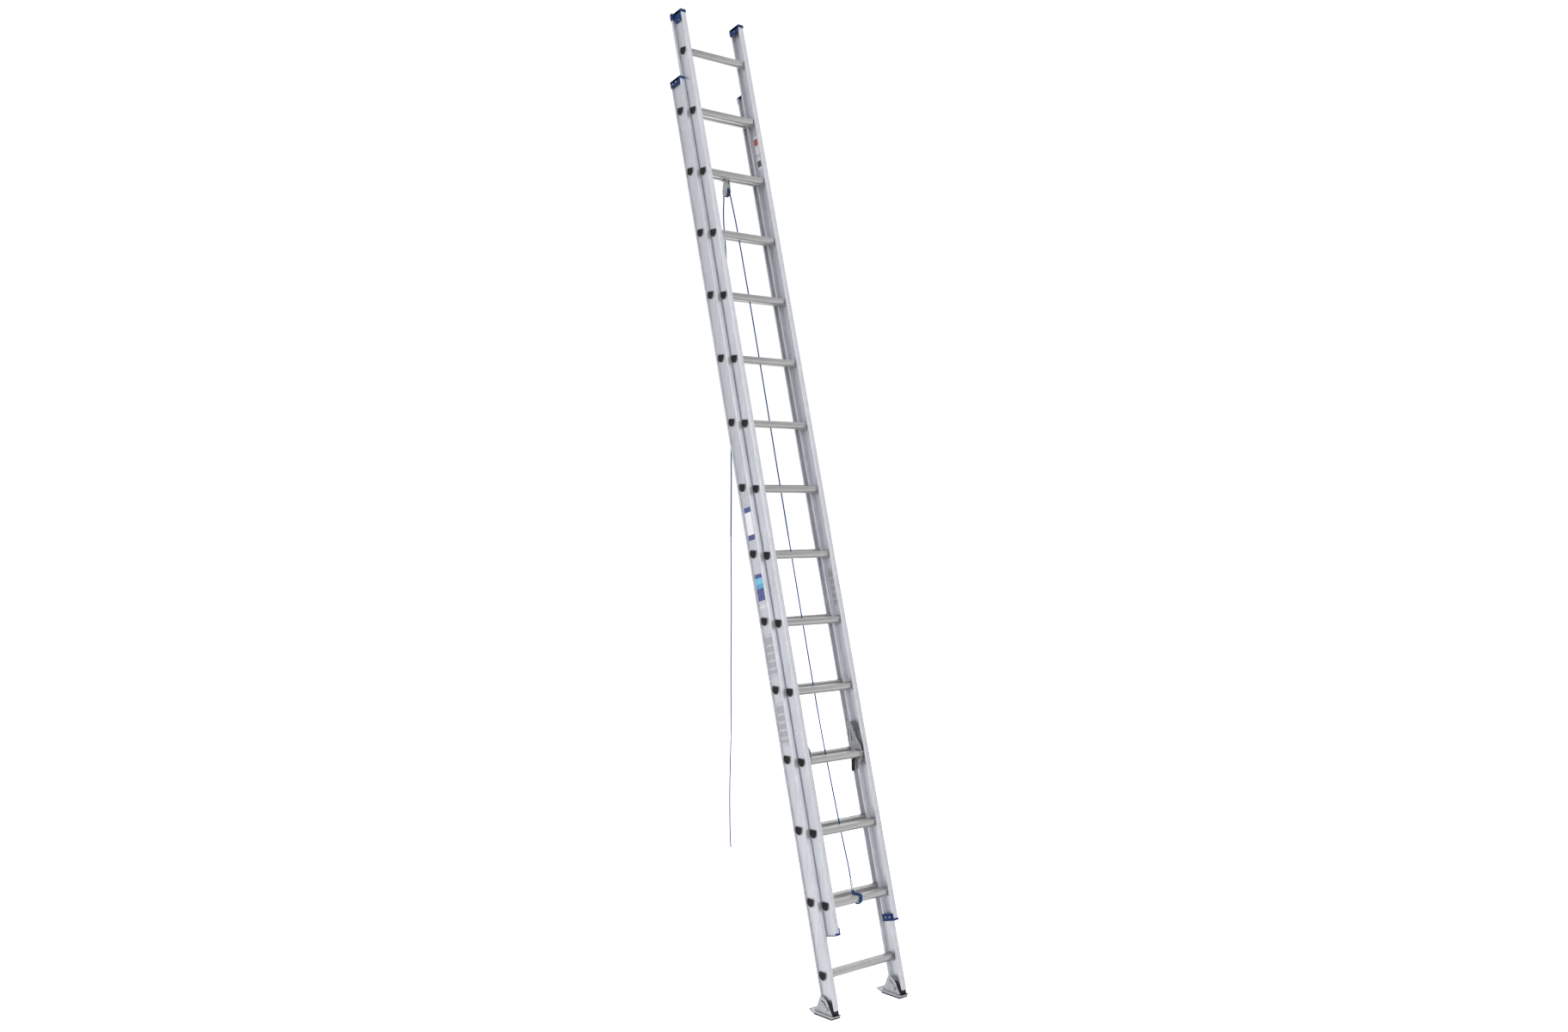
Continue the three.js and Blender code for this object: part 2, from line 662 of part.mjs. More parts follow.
for (let i = 1; i <= RUNG_COUNT; i += 1) {
  const number = String(i).padStart(2, "0");
  add(`base_rung_${number}`, "rung", rung(baseRungAxis(i), BASE_WIDTH / 2 - 7));
  add(`fly_rung_${number}`, "rung", rung(flyRungAxis(i), FLY_WIDTH / 2 - 2.5));
}

add("pulley_hanger", "zinc", pulleyHanger());
add("pulley_block", "zinc", pulleyBlock());
add("pulley_wheel", "wheel", pulleyWheel());
add("pulley_axle", "zinc", pulleyAxle());
add("rope_lift_run", "rope", liftRun());
add("rope_free_run", "rope", freeRun());
add("rope_tie", "rope", ropeTie());
add("rope_ferrule", "zinc", ferrule());

// Stand the pads on the floor and centre the whole ladder over the origin.
const box = new THREE.Box3().setFromObject(group);
const shift = new THREE.Vector3(-(box.min.x + box.max.x) / 2, -(box.min.y + box.max.y) / 2, -box.min.z);
for (const mesh of group.children) {
  mesh.geometry.translate(shift.x, shift.y, shift.z);
}

export default group;
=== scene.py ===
"""Two-section aluminium extension ladder, leaning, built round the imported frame. Metres, +Z up."""
import math

import bmesh
import bpy
from mathutils import Matrix, Vector


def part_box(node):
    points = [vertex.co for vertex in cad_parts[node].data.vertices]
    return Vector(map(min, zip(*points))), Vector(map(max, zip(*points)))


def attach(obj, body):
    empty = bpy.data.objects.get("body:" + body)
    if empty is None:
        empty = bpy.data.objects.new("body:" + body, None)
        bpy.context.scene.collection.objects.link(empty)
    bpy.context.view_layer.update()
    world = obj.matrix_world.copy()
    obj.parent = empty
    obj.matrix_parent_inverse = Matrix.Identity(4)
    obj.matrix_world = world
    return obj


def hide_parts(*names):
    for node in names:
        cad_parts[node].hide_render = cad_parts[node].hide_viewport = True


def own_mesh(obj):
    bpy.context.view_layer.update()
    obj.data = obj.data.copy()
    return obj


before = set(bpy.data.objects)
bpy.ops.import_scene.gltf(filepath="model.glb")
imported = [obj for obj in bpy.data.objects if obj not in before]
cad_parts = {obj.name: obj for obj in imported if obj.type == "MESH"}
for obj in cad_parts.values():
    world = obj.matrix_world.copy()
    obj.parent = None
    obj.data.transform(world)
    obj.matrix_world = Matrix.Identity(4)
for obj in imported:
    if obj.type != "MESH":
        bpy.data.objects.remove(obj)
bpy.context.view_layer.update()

MM = 0.001

# Camera: millimetres from base rung 1's axis, and degrees.
CAMERA_AT = (-4487.75, -4558.6, 2016.3)
CAMERA_YAW = 41.621
CAMERA_PITCH = -0.68
CAMERA_ROLL = 0.121
SENSOR_WIDTH = 36.0
FOCAL_PER_WIDTH = 1725.0 / 1824.0

# The floor glows more to the camera than to the ladder.
FLOOR_GLOW = 0.66
FLOOR_BOUNCE = 0.05

# Ladder, in millimetres.
LEAN = math.radians(14.5)
PITCH = 304.8
RUNGS = 14
BASE_HALF = 217.5
FLY_DROP = 22.0
FLY_N = 64.5
ALONG_U = Vector((1, 0, 0))
ALONG_S = Vector((0, math.sin(LEAN), math.cos(LEAN)))
ALONG_N = Vector((0, -math.cos(LEAN), math.sin(LEAN)))
WORLD_Y = Vector((0, 1, 0))
WORLD_Z = Vector((0, 0, 1))
SIDES = ((-1, "left"), (1, "right"))

# Base rung 1's axis is COLLAR below the top of the rung's collar.
COLLAR = 0.0161
_low, _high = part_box("base_rung_01")
ORIGIN = Vector((0, (_low[1] + _high[1]) / 2, _high[2] - COLLAR))


def at(u, s, n):
    """A point in ladder millimetres: across, up the rails from base rung 1, towards the climber."""
    return ORIGIN + (ALONG_U * u + ALONG_S * s + ALONG_N * n) * MM


def level(x, y, z):
    """A point in millimetres from base rung 1's axis, along the row frame's axes."""
    return ORIGIN + Vector((x, y, z)) * MM


# ---------------------------------------------------------------- camera, floor and light

def camera():
    yaw = math.radians(CAMERA_YAW)
    pitch = math.radians(CAMERA_PITCH)
    roll = math.radians(CAMERA_ROLL)
    look = Vector((math.sin(yaw) * math.cos(pitch), math.cos(yaw) * math.cos(pitch), math.sin(pitch)))
    right = Vector((math.cos(yaw), -math.sin(yaw), 0))
    up = right.cross(look)
    right_rolled = right * math.cos(roll) + up * math.sin(roll)
    up_rolled = -right * math.sin(roll) + up * math.cos(roll)
    data = bpy.data.cameras.new("camera")
    data.sensor_width = SENSOR_WIDTH
    data.lens = FOCAL_PER_WIDTH * SENSOR_WIDTH
    data.clip_end = 200
    obj = bpy.data.objects.new("camera", data)
    bpy.context.collection.objects.link(obj)
    turn = Matrix((right_rolled, up_rolled, -look)).transposed().to_4x4()
    obj.matrix_world = Matrix.Translation(level(*CAMERA_AT)) @ turn
    bpy.context.scene.camera = obj


def area_light(name, place, target, size, power):
    data = bpy.data.lights.new(name, "AREA")
    data.shape = "RECTANGLE"
    data.size, data.size_y = size
    data.energy = power
    obj = bpy.data.objects.new(name, data)
    bpy.context.collection.objects.link(obj)
    obj.location = place
    obj.rotation_euler = (Vector(target) - Vector(place)).to_track_quat("-Z", "Y").to_euler()
    obj.visible_camera = False


def studio_floor():
    mesh = bpy.data.meshes.new("floor")
    half = 60.0
    corners = [(-half, -half, 0), (half, -half, 0), (half, half, 0), (-half, half, 0)]
    mesh.from_pydata(corners, [], [(0, 1, 2, 3)])
    floor = bpy.data.objects.new("floor", mesh)
    bpy.context.collection.objects.link(floor)
    mat = bpy.data.materials.new("floor_pale")
    mat.use_nodes = True
    tree = mat.node_tree
    shader = tree.nodes["Principled BSDF"]
    noise = tree.nodes.new("ShaderNodeTexNoise")
    noise.inputs["Scale"].default_value = 3.0
    ramp = tree.nodes.new("ShaderNodeValToRGB")
    ramp.color_ramp.elements[0].color = (0.93, 0.93, 0.93, 1)
    ramp.color_ramp.elements[1].color = (0.95, 0.95, 0.95, 1)
    tree.links.new(noise.outputs["Fac"], ramp.inputs["Fac"])
    tree.links.new(ramp.outputs["Color"], shader.inputs["Base Color"])
    shader.inputs["Roughness"].default_value = 0.9
    shader.inputs["Specular IOR Level"].default_value = 0.0
    shader.inputs["Emission Color"].default_value = (1, 1, 1, 1)
    seen = tree.nodes.new("ShaderNodeLightPath")
    glow = tree.nodes.new("ShaderNodeMapRange")
    glow.inputs["To Min"].default_value = FLOOR_BOUNCE
    glow.inputs["To Max"].default_value = FLOOR_GLOW
    tree.links.new(seen.outputs["Is Camera Ray"], glow.inputs["Value"])
    tree.links.new(glow.outputs["Result"], shader.inputs["Emission Strength"])
    mesh.materials.append(mat)


def studio_world():
    """White to the camera, and a soft grey-to-white dome to everything else."""
    world = bpy.data.worlds.new("studio")
    bpy.context.scene.world = world
    world.use_nodes = True
    tree = world.node_tree
    tree.nodes.clear()
    out = tree.nodes.new("ShaderNodeOutputWorld")
    mix = tree.nodes.new("ShaderNodeMixShader")
    path = tree.nodes.new("ShaderNodeLightPath")
    white = tree.nodes.new("ShaderNodeBackground")
    white.inputs["Color"].default_value = (1, 1, 1, 1)
    white.inputs["Strength"].default_value = 1.05
    soft = tree.nodes.new("ShaderNodeBackground")
    soft.inputs["Strength"].default_value = 1.0
    coords = tree.nodes.new("ShaderNodeTexCoord")
    split = tree.nodes.new("ShaderNodeSeparateXYZ")
    ramp = tree.nodes.new("ShaderNodeValToRGB")
    ramp.color_ramp.elements[0].position = 0.0
    ramp.color_ramp.elements[0].color = (0.50, 0.505, 0.53, 1)
    ramp.color_ramp.elements[1].position = 1.0
    ramp.color_ramp.elements[1].color = (1.0, 1.0, 1.02, 1)
    tree.links.new(coords.outputs["Generated"], split.inputs["Vector"])
    tree.links.new(split.outputs["Z"], ramp.inputs["Fac"])
    tree.links.new(ramp.outputs["Color"], soft.inputs["Color"])
    tree.links.new(path.outputs["Is Camera Ray"], mix.inputs["Fac"])
    tree.links.new(soft.outputs["Background"], mix.inputs[1])
    tree.links.new(white.outputs["Background"], mix.inputs[2])
    tree.links.new(mix.outputs["Shader"], out.inputs["Surface"])


def studio_lights():
    area_light("key", (-0.5, -8.0, 5.5), (0, 0, 2.2), (5.0, 5.0), 300)
    area_light("side", (-8.0, 2.5, 4.5), (0, 0, 2.4), (3.0, 5.0), 85)
    area_light("behind", (4.0, 7.0, 3.0), (0, 0, 2.4), (6.0, 5.0), 180)
    area_light("inside", (-5.0, -7.0, 3.0), (0.2, 0, 2.0), (2.5, 5.0), 100)
    bpy.context.scene.view_settings.view_transform = "Standard"
    bpy.context.scene.view_settings.look = "None"


# ---------------------------------------------------------------- materials

MATS = {}


class Nodes:
    """Short calls for one material's node tree."""

    def __init__(self, name):
        self.mat = bpy.data.materials.new(name)
        self.mat.use_nodes = True
        self.tree = self.mat.node_tree
        self.shader = self.tree.nodes["Principled BSDF"]
        MATS[name] = self.mat

    def new(self, kind, **values):
        node = self.tree.nodes.new(kind)
        for key, value in values.items():
            node.inputs[key.replace("_", " ")].default_value = value
        return node

    def link(self, a, b):
        self.tree.links.new(a, b)

    def coords(self, scale=(1, 1, 1), turn=(0, 0, 0)):
        tex = self.tree.nodes.new("ShaderNodeTexCoord")
        mapping = self.tree.nodes.new("ShaderNodeMapping")
        mapping.inputs["Scale"].default_value = scale
        mapping.inputs["Rotation"].default_value = turn
        self.link(tex.outputs["Object"], mapping.inputs["Vector"])
        return mapping.outputs["Vector"]

    def noise(self, vector, scale, detail=4.0, rough=0.55):
        node = self.new("ShaderNodeTexNoise", Scale=scale, Detail=detail, Roughness=rough)
        self.link(vector, node.inputs["Vector"])
        return node.outputs["Fac"]

    def ramp(self, value, stops, interpolation="LINEAR"):
        node = self.tree.nodes.new("ShaderNodeValToRGB")
        ramp = node.color_ramp
        ramp.interpolation = interpolation
        while len(ramp.elements) < len(stops):
            ramp.elements.new(0.5)
        for element, (place, colour) in zip(ramp.elements, stops):
            element.position = place
            element.color = (*colour, 1)
        self.link(value, node.inputs["Fac"])
        return node.outputs["Color"]

    def spread(self, value, low, high):
        node = self.tree.nodes.new("ShaderNodeMapRange")
        node.inputs["To Min"].default_value = low
        node.inputs["To Max"].default_value = high
        node.inputs["From Min"].default_value = 0.3
        node.inputs["From Max"].default_value = 0.7
        self.link(value, node.inputs["Value"])
        return node.outputs["Result"]

    def mix(self, factor, a, b):
        node = self.tree.nodes.new("ShaderNodeMix")
        node.data_type = "RGBA"
        self.link(factor, node.inputs[0])
        for socket, value in ((node.inputs[6], a), (node.inputs[7], b)):
            if isinstance(value, tuple):
                socket.default_value = (*value, 1)
            else:
                self.link(value, socket)
        return node.outputs[2]

    def bump(self, height, strength, distance):
        node = self.new("ShaderNodeBump", Strength=strength, Distance=distance)
        self.link(height, node.inputs["Height"])
        self.link(node.outputs["Normal"], self.shader.inputs["Normal"])

    def set(self, **values):
        for key, value in values.items():
            socket = self.shader.inputs[key.replace("_", " ")]
            if isinstance(value, bpy.types.NodeSocket):
                self.link(value, socket)
            else:
                socket.default_value = value


def drawn_metal(name, dark, light, along, rough=(0.34, 0.5)):
    """Extruded aluminium: fine drawing lines along the piece, faint blotches and handling marks."""
    m = Nodes(name)
    turn = (-LEAN, 0, 0) if along == "s" else (0, 0, 0)
    stretch = (1.0, 1.0, 0.012) if along == "s" else (0.012, 1.0, 1.0)
    lines = m.noise(m.coords(stretch, turn), 900.0, 3.0, 0.6)
    bands = m.noise(m.coords(stretch, turn), 140.0, 2.0, 0.5)
    blotch = m.noise(m.coords(), 9.0, 5.0, 0.6)
    scuff = m.noise(m.coords(), 55.0, 6.0, 0.7)
    base = m.ramp(bands, [(0.3, dark), (0.7, light)])
    worn = m.mix(m.spread(blotch, 0.0, 0.35), base, tuple(c * 0.86 for c in dark))
    m.set(Base_Color=m.mix(m.spread(scuff, 0.0, 0.12), worn, tuple(min(1.0, c * 1.12) for c in light)))
    m.set(Metallic=0.85, Roughness=m.spread(lines, *rough))
    m.bump(lines, 0.25, 0.00025)


def plain_metal(name, dark, light, rough=(0.3, 0.45), metal=1.0, cast=False):
    m = Nodes(name)
    cloud = m.noise(m.coords(), 60.0, 4.0, 0.6)
    fine = m.noise(m.coords(), 420.0 if cast else 900.0, 3.0, 0.6)
    m.set(Base_Color=m.ramp(cloud, [(0.3, dark), (0.7, light)]))
    m.set(Metallic=metal, Roughness=m.spread(fine, *rough))
    m.bump(fine, 0.35 if cast else 0.15, 0.0004 if cast else 0.0002)


def plastic(name, dark, light, rough=(0.38, 0.5), grain=700.0):
    m = Nodes(name)
    cloud = m.noise(m.coords(), 30.0, 4.0, 0.6)
    fine = m.noise(m.coords(), grain, 2.0, 0.5)
    m.set(Base_Color=m.ramp(cloud, [(0.3, dark), (0.7, light)]))
    m.set(Roughness=m.spread(fine, *rough), Specular_IOR_Level=0.3)
    m.bump(fine, 0.2, 0.00025)


def rope_material():
    m = Nodes("rope_blue")
    wide = m.noise(m.coords(), 260.0, 4.0, 0.6)
    fibre = m.noise(m.coords(), 1500.0, 4.0, 0.7)
    shade = m.ramp(wide, [(0.3, (0.001, 0.025, 0.11)), (0.7, (0.004, 0.06, 0.22))])
    m.set(Base_Color=m.mix(m.spread(fibre, 0.0, 0.25), shade, (0.012, 0.12, 0.34)))
    m.set(Roughness=m.spread(fibre, 0.6, 0.85), Specular_IOR_Level=0.1)
    m.bump(fibre, 0.4, 0.0003)


def label_material(name, paper, bands):
    """A plain sticker: coloured bands up its height, which its UV map spans, and no lettering."""
    m = Nodes(name)
    tex = m.tree.nodes.new("ShaderNodeTexCoord")
    split = m.tree.nodes.new("ShaderNodeSeparateXYZ")
    m.link(tex.outputs["UV"], split.inputs["Vector"])
    printed = m.ramp(split.outputs["Y"], bands, "CONSTANT")
    wear = m.noise(m.coords(), 120.0, 4.0, 0.6)
    m.set(Base_Color=m.mix(m.spread(wear, 0.0, 0.15), printed, paper))
    m.set(Roughness=m.spread(wear, 0.35, 0.5))


def materials():
    drawn_metal("rail_aluminium", (0.60, 0.61, 0.65), (0.72, 0.73, 0.76), "s")
    drawn_metal("rung_aluminium", (0.38, 0.38, 0.37), (0.50, 0.50, 0.49), "u", rough=(0.3, 0.46))
    plastic("blue_cap", (0.001, 0.016, 0.085), (0.003, 0.030, 0.135), rough=(0.45, 0.6))
    plastic("pad_rubber", (0.012, 0.012, 0.014), (0.028, 0.028, 0.032), rough=(0.65, 0.85), grain=500.0)
    plastic("black_plastic", (0.003, 0.003, 0.0035), (0.008, 0.008, 0.009), rough=(0.5, 0.65))
    plastic("wheel_plastic", (0.03, 0.03, 0.034), (0.06, 0.06, 0.065), rough=(0.4, 0.55))
    plain_metal("zinc_steel", (0.42, 0.43, 0.45), (0.58, 0.59, 0.60))
    plain_metal("shoe_metal", (0.40, 0.41, 0.44), (0.52, 0.53, 0.56), rough=(0.34, 0.5), metal=0.9)
    plain_metal("lock_metal", (0.34, 0.34, 0.35), (0.5, 0.5, 0.51), rough=(0.42, 0.6), metal=0.9, cast=True)
    plain_metal("ferrule_aluminium", (0.5, 0.51, 0.53), (0.64, 0.65, 0.66), rough=(0.25, 0.4))
    rope_material()


# ---------------------------------------------------------------- mesh helpers

def finish_mesh(name, mesh, material, body, cad=(), angle=34.0):
    """Makes the object, smooths it, gives it its material and hangs it on its body."""
    mesh.name = name
    work = bmesh.new()
    work.from_mesh(mesh)
    bmesh.ops.remove_doubles(work, verts=work.verts, dist=1e-6)
    bmesh.ops.recalc_face_normals(work, faces=work.faces)
    work.to_mesh(mesh)
    work.free()
    for face in mesh.polygons:
        face.use_smooth = True
    mesh.set_sharp_from_angle(angle=math.radians(angle))
    obj = bpy.data.objects.new(name, mesh)
    bpy.context.collection.objects.link(obj)
    mesh.materials.clear()
    mesh.materials.append(MATS[material])
    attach(obj, body)
    if cad:
        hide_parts(*cad)
    return obj


def rounded(points, radius, steps=3):
    """The outline with its corners turned into arcs."""
    out = []
    count = len(points)
    for i, point in enumerate(points):
        p = Vector(point)
        a = Vector(points[i - 1]) - p
        b = Vector(points[(i + 1) % count]) - p
        angle = a.angle(b)
        straight = angle >= 3.1
        reach = 0 if straight else min(radius / math.tan(angle / 2), a.length * 0.48, b.length * 0.48)
        if reach < 1e-4:
            out.append(tuple(p))
            continue
        start = p + a.normalized() * reach
        end = p + b.normalized() * reach
        for k in range(steps + 1):
            t = k / steps
            q = start * (1 - t) ** 2 + p * 2 * t * (1 - t) + end * t ** 2
            out.append(tuple(q))
    return out


def loft(rings, loop=False):
    """A mesh skinned over rings of points with the same count, closed by end faces or into a loop."""
    mesh = bpy.data.meshes.new("loft")
    count = len(rings[0])
    points = [tuple(p) for ring in rings for p in ring]
    faces = []
    total = len(rings)
    for r in range(total if loop else total - 1):
        nxt = (r + 1) % total
        for i in range(count):
            j = (i + 1) % count
            faces.append((r * count + i, r * count + j, nxt * count + j, nxt * count + i))
    if not loop:
        faces.append(tuple(reversed(range(count))))
        faces.append(tuple((total - 1) * count + i for i in range(count)))
    mesh.from_pydata(points, [], faces)
    return mesh


def along_rails(outline, low, high):
    """Section points (u, n) run from s = low to s = high."""
    return loft([[at(u, s, n) for u, n in outline] for s in (low, high)])


def spot(basis, a, b, depth):
    """A point of a flat profile: (n, s) on 'ladder', (u, n) on 'rail' and (y, z) on 'level'."""
    if basis == "ladder":
        return at(depth, b, a)
    if basis == "rail":
        return at(a, depth, b)
    return level(depth, a, b)


def plate(outline, low, high, basis, holes=(), edge=0.6, steps=2):
    """A flat piece with rounded edges and holes, made from a filled outline."""
    curve = bpy.data.curves.new("plate", "CURVE")
    curve.dimensions = "2D"
    curve.fill_mode = "BOTH"
    thick = abs(high - low)
    edge = min(edge, thick * 0.45)
    curve.extrude = thick / 2 - edge
    curve.bevel_depth = edge
    curve.bevel_resolution = steps
    curve.offset = -edge
    for ring in (outline, *holes):
        spline = curve.splines.new("POLY")
        spline.points.add(len(ring) - 1)
        for point, (a, b) in zip(spline.points, ring):
            point.co = (a, b, 0, 1)
        spline.use_cyclic_u = True
    temp = bpy.data.objects.new("plate", curve)
    bpy.context.collection.objects.link(temp)
    bpy.context.view_layer.update()
    graph = bpy.context.evaluated_depsgraph_get()
    mesh = bpy.data.meshes.new_from_object(temp.evaluated_get(graph))
    bpy.data.objects.remove(temp)
    bpy.data.curves.remove(curve)
    middle = (low + high) / 2
    for vertex in mesh.vertices:
        a, b, depth = vertex.co
        vertex.co = spot(basis, a, b, middle + depth)
    return mesh


def circle(a, b, radius, count=32):
    angles = [2 * math.pi * i / count for i in range(count)]
    return [(a + radius * math.cos(t), b + radius * math.sin(t)) for t in angles]


def turned(profile, centre, axis, count=36):
    """A piece of revolution: (radius, height) points along axis from centre, in millimetres."""
    axis = Vector(axis).normalized()
    side = axis.orthogonal().normalized()
    other = axis.cross(side)
    rings = []
    for radius, height in profile:
        radius = max(radius, 0.01)
        rings.append([centre + (axis * height + (side * math.cos(t) + other * math.sin(t)) * radius) * MM
                      for t in (2 * math.pi * i / count for i in range(count))])
    return loft(rings)


def merged(*meshes):
    """Several meshes as one."""
    work = bmesh.new()
    for mesh in meshes:
        work.from_mesh(mesh)
        bpy.data.meshes.remove(mesh)
    mesh = bpy.data.meshes.new("merged")
    work.to_mesh(mesh)
    work.free()
    return mesh


def smooth_path(points, step):
    """Points a step apart on a Catmull-Rom curve through the given points (centripetal)."""
    pts = [Vector(p) for p in points]
    pts = [pts[0] * 2 - pts[1]] + pts + [pts[-1] * 2 - pts[-2]]
    dense = []
    for i in range(1, len(pts) - 2):
        p0, p1, p2, p3 = pts[i - 1:i + 3]
        t1 = (p1 - p0).length ** 0.5
        t2 = t1 + (p2 - p1).length ** 0.5
        t3 = t2 + (p3 - p2).length ** 0.5
        pieces = max(4, int((p2 - p1).length / (step * 0.5)))
        for k in range(pieces):
            t = t1 + (t2 - t1) * k / pieces
            a1 = p0 * ((t1 - t) / t1) + p1 * (t / t1)
            a2 = p1 * ((t2 - t) / (t2 - t1)) + p2 * ((t - t1) / (t2 - t1))
            a3 = p2 * ((t3 - t) / (t3 - t2)) + p3 * ((t - t2) / (t3 - t2))
            b1 = a1 * ((t2 - t) / t2) + a2 * (t / t2)
            b2 = a2 * ((t3 - t) / (t3 - t1)) + a3 * ((t - t1) / (t3 - t1))
            dense.append(b1 * ((t2 - t) / (t2 - t1)) + b2 * ((t - t1) / (t2 - t1)))
    dense.append(pts[-2])
    out = [dense[0]]
    rest = 0.0
    for a, b in zip(dense, dense[1:]):
        length = (b - a).length
        travel = step - rest
        while travel <= length:
            out.append(a.lerp(b, travel / length))
            travel += step
        rest = length - (travel - step)
    if (out[-1] - dense[-1]).length > step * 0.3:
        out.append(dense[-1])
    else:
        out[-1] = dense[-1]
    return out


def tube(path, radius, sides, braid=0.0):
    """A round tube along a path. braid is the depth, as a share of the radius, of its crossing strands."""
    rings = []
    tangent = (path[1] - path[0]).normalized()
    side = tangent.orthogonal().normalized()
    travelled = 0.0
    for i, point in enumerate(path):
        ahead = path[min(i + 1, len(path) - 1)]
        behind = path[max(i - 1, 0)]
        new = (ahead - behind).normalized()
        side = (side - new * side.dot(new)).normalized()
        other = new.cross(side)
        ring = []
        for k in range(sides):
            t = 2 * math.pi * k / sides
            r = radius
            if braid:
                phase = 2 * math.pi * travelled / BRAID_PITCH
                crest = max(abs(math.sin(2 * t + phase)), abs(math.sin(2 * t - phase)))
                r = radius * (1 - braid + braid * crest)
            ring.append(point + (side * math.cos(t) + other * math.sin(t)) * r)
        rings.append(ring)
        travelled += (ahead - point).length
    return loft(rings)


# ---------------------------------------------------------------- ropes (first, with the camera)

# The pulley hangs from base rung 13, whose axis is at this (y, z), a little left of the middle.
HOIST_RUNG = (915.7788, 3541.1020)
EYE = (-12.0, HOIST_RUNG[0] - 22.0, HOIST_RUNG[1] - 26.0)
WHEEL = (-12.0, HOIST_RUNG[0] - 22.0, HOIST_RUNG[1] - 76.0)
WRAP = 20.6
ROPE_R = 0.003
BRAID_PITCH = 0.011
FERRULE_LOW = 318.0
FERRULE_HIGH = 366.0


def ropes():
    wheel = level(*WHEEL)
    points = [
        wheel + ALONG_N * WRAP * MM - ALONG_S * 0.0008, at(-9, 3420, 28), at(-6, 3160, 28), at(-8, 2650, 29),
        at(-13, 2155, 30.5), at(-18, 1670, 33), at(-21, 1200, 35.5), at(-20, 970, 37), at(-14, 742, 39),
        at(-7, 540, 41), at(-1, 420, 42), at(0, FERRULE_HIGH + 0.3, 42),
    ]
    path = smooth_path(points, 0.0022)
    lift = finish_mesh("rope_lift", tube(path, ROPE_R, 12, 0.06), "rope_blue", "base_section",
                       ["rope_lift_run"], angle=80)
    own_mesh(lift)

    points = []
    for i in range(6):
        angle = (math.pi - LEAN) * (5 - i) / 5
        points.append(wheel + Vector((0, math.cos(angle), math.sin(angle))) * WRAP * MM)
    back = WHEEL[1] + WRAP
    points.append(level(WHEEL[0], back, WHEEL[2] - 25))
    drift = ((-13, 3350), (-2, 3230), (8, 3110), (20, 2900), (33, 2550), (40, 2160), (39, 1800),
             (42, 1500), (40, 1200), (41, 900), (34, 610), (36, 440), (41, 340))
    for x, z in drift:
        points.append(level(x, back + (4 if z < 3000 else 1), z))
    path = smooth_path(points, 0.0022)
    free = finish_mesh("rope_free", tube(path, ROPE_R, 12, 0.06), "rope_blue", "base_section",
                       ["rope_free_run"], angle=80)

    ring = [(23, 6), (20.9, 13), (15, 17), (0, 17), (-15, 17), (-20.9, 13), (-23, 6), (-23, -4),
            (-19.1, -15), (-9.6, -22.2), (0, -24), (9.6, -22.2), (19.1, -15), (23, -4)]
    tie_s, tie_n = PITCH - FLY_DROP, FLY_N
    axis = at(0, tie_s, tie_n)
    points = [at(3.4, FERRULE_LOW - 1, 42)]
    for i in range(29):
        y, z = ring[i % 14]
        points.append(axis + Vector((6.8 - i * 0.486, y, z)) * MM)
    points.append(at(-3.4, FERRULE_LOW - 1, 42))
    path = smooth_path(points, 0.0018)
    finish_mesh("rope_knot", tube(path, ROPE_R, 12, 0.06), "rope_blue", "fly_section", ["rope_tie"], angle=80)

    profile = [(0, 0), (5.2, 0), (6.2, 0.5), (6.6, 1.4), (6.6, 11), (6.2, 13), (5.5, 15), (5.5, 19),
               (6.2, 21), (6.6, 22.5), (6.6, 26.5), (6.2, 28), (5.5, 30), (5.5, 34), (6.2, 36),
               (6.6, 37.5), (6.6, 46.6), (6.2, 47.5), (5.2, 48), (0, 48)]
    finish_mesh("rope_sleeve", turned(profile, at(0, FERRULE_LOW, 42), ALONG_S), "ferrule_aluminium",
                "fly_section", ["rope_ferrule"], angle=40)


# ---------------------------------------------------------------- rails and rungs

WALL = 2.4
FLANGE = 26.0
BASE_BACK, BASE_FRONT = -31.0, 42.5
FLY_BACK, FLY_FRONT = 27.5, 95.0
FLY_EDGE = 27.0
BASE_ENDS = (-148.0, 4117.0)
FLY_ENDS = (157.8, 4441.0)


def base_section():
    back, front, web = BASE_BACK, BASE_FRONT, 7.0
    return [
        (0, back), (FLANGE, back), (FLANGE, back + 7), (FLANGE - WALL, back + 7),
        (FLANGE - WALL, back + WALL), (web + WALL, back + WALL), (web + WALL, front - WALL),
        (FLANGE - WALL, front - WALL), (FLANGE - WALL, front - 9), (FLANGE, front - 9),
        (FLANGE, front), (0, front), (0, front - 6), (WALL, front - 6), (WALL, front - WALL),
        (web, front - WALL), (web, 33.0), (web + 0.7, 32.4), (web + 0.7, 30.8), (web, 30.2),
        (web, -19.0), (web + 0.7, -19.6), (web + 0.7, -21.2), (web, -21.8),
        (web, back + WALL), (WALL, back + WALL), (WALL, back + 6), (0, back + 6),
    ]


def fly_section():
    web = FLY_EDGE + 2.5
    edge = FLY_EDGE + FLANGE + 1
    back, front = FLY_BACK, FLY_FRONT
    return [
        (16, back), (edge - 3, back), (edge - 3, back + 7), (edge - 3 - WALL, back + 7),
        (edge - 3 - WALL, back + WALL), (web + WALL, back + WALL), (web + WALL, front - WALL),
        (edge - WALL, front - WALL), (edge - WALL, front - 8), (edge, front - 8), (edge, front),
        (FLY_EDGE, front), (FLY_EDGE, front - 6), (web, front - 6), (web, 87.5), (web + 0.7, 86.9),
        (web + 0.7, 85.3), (web, 84.7), (web, 46.5), (web + 0.7, 45.9), (web + 0.7, 44.3), (web, 43.7),
        (web, back + WALL), (16 + WALL, back + WALL), (16 + WALL, back + 10.5), (16, back + 10.5),
    ]


def sided(points, side):
    return [(side * (BASE_HALF - w), n) for w, n in points]


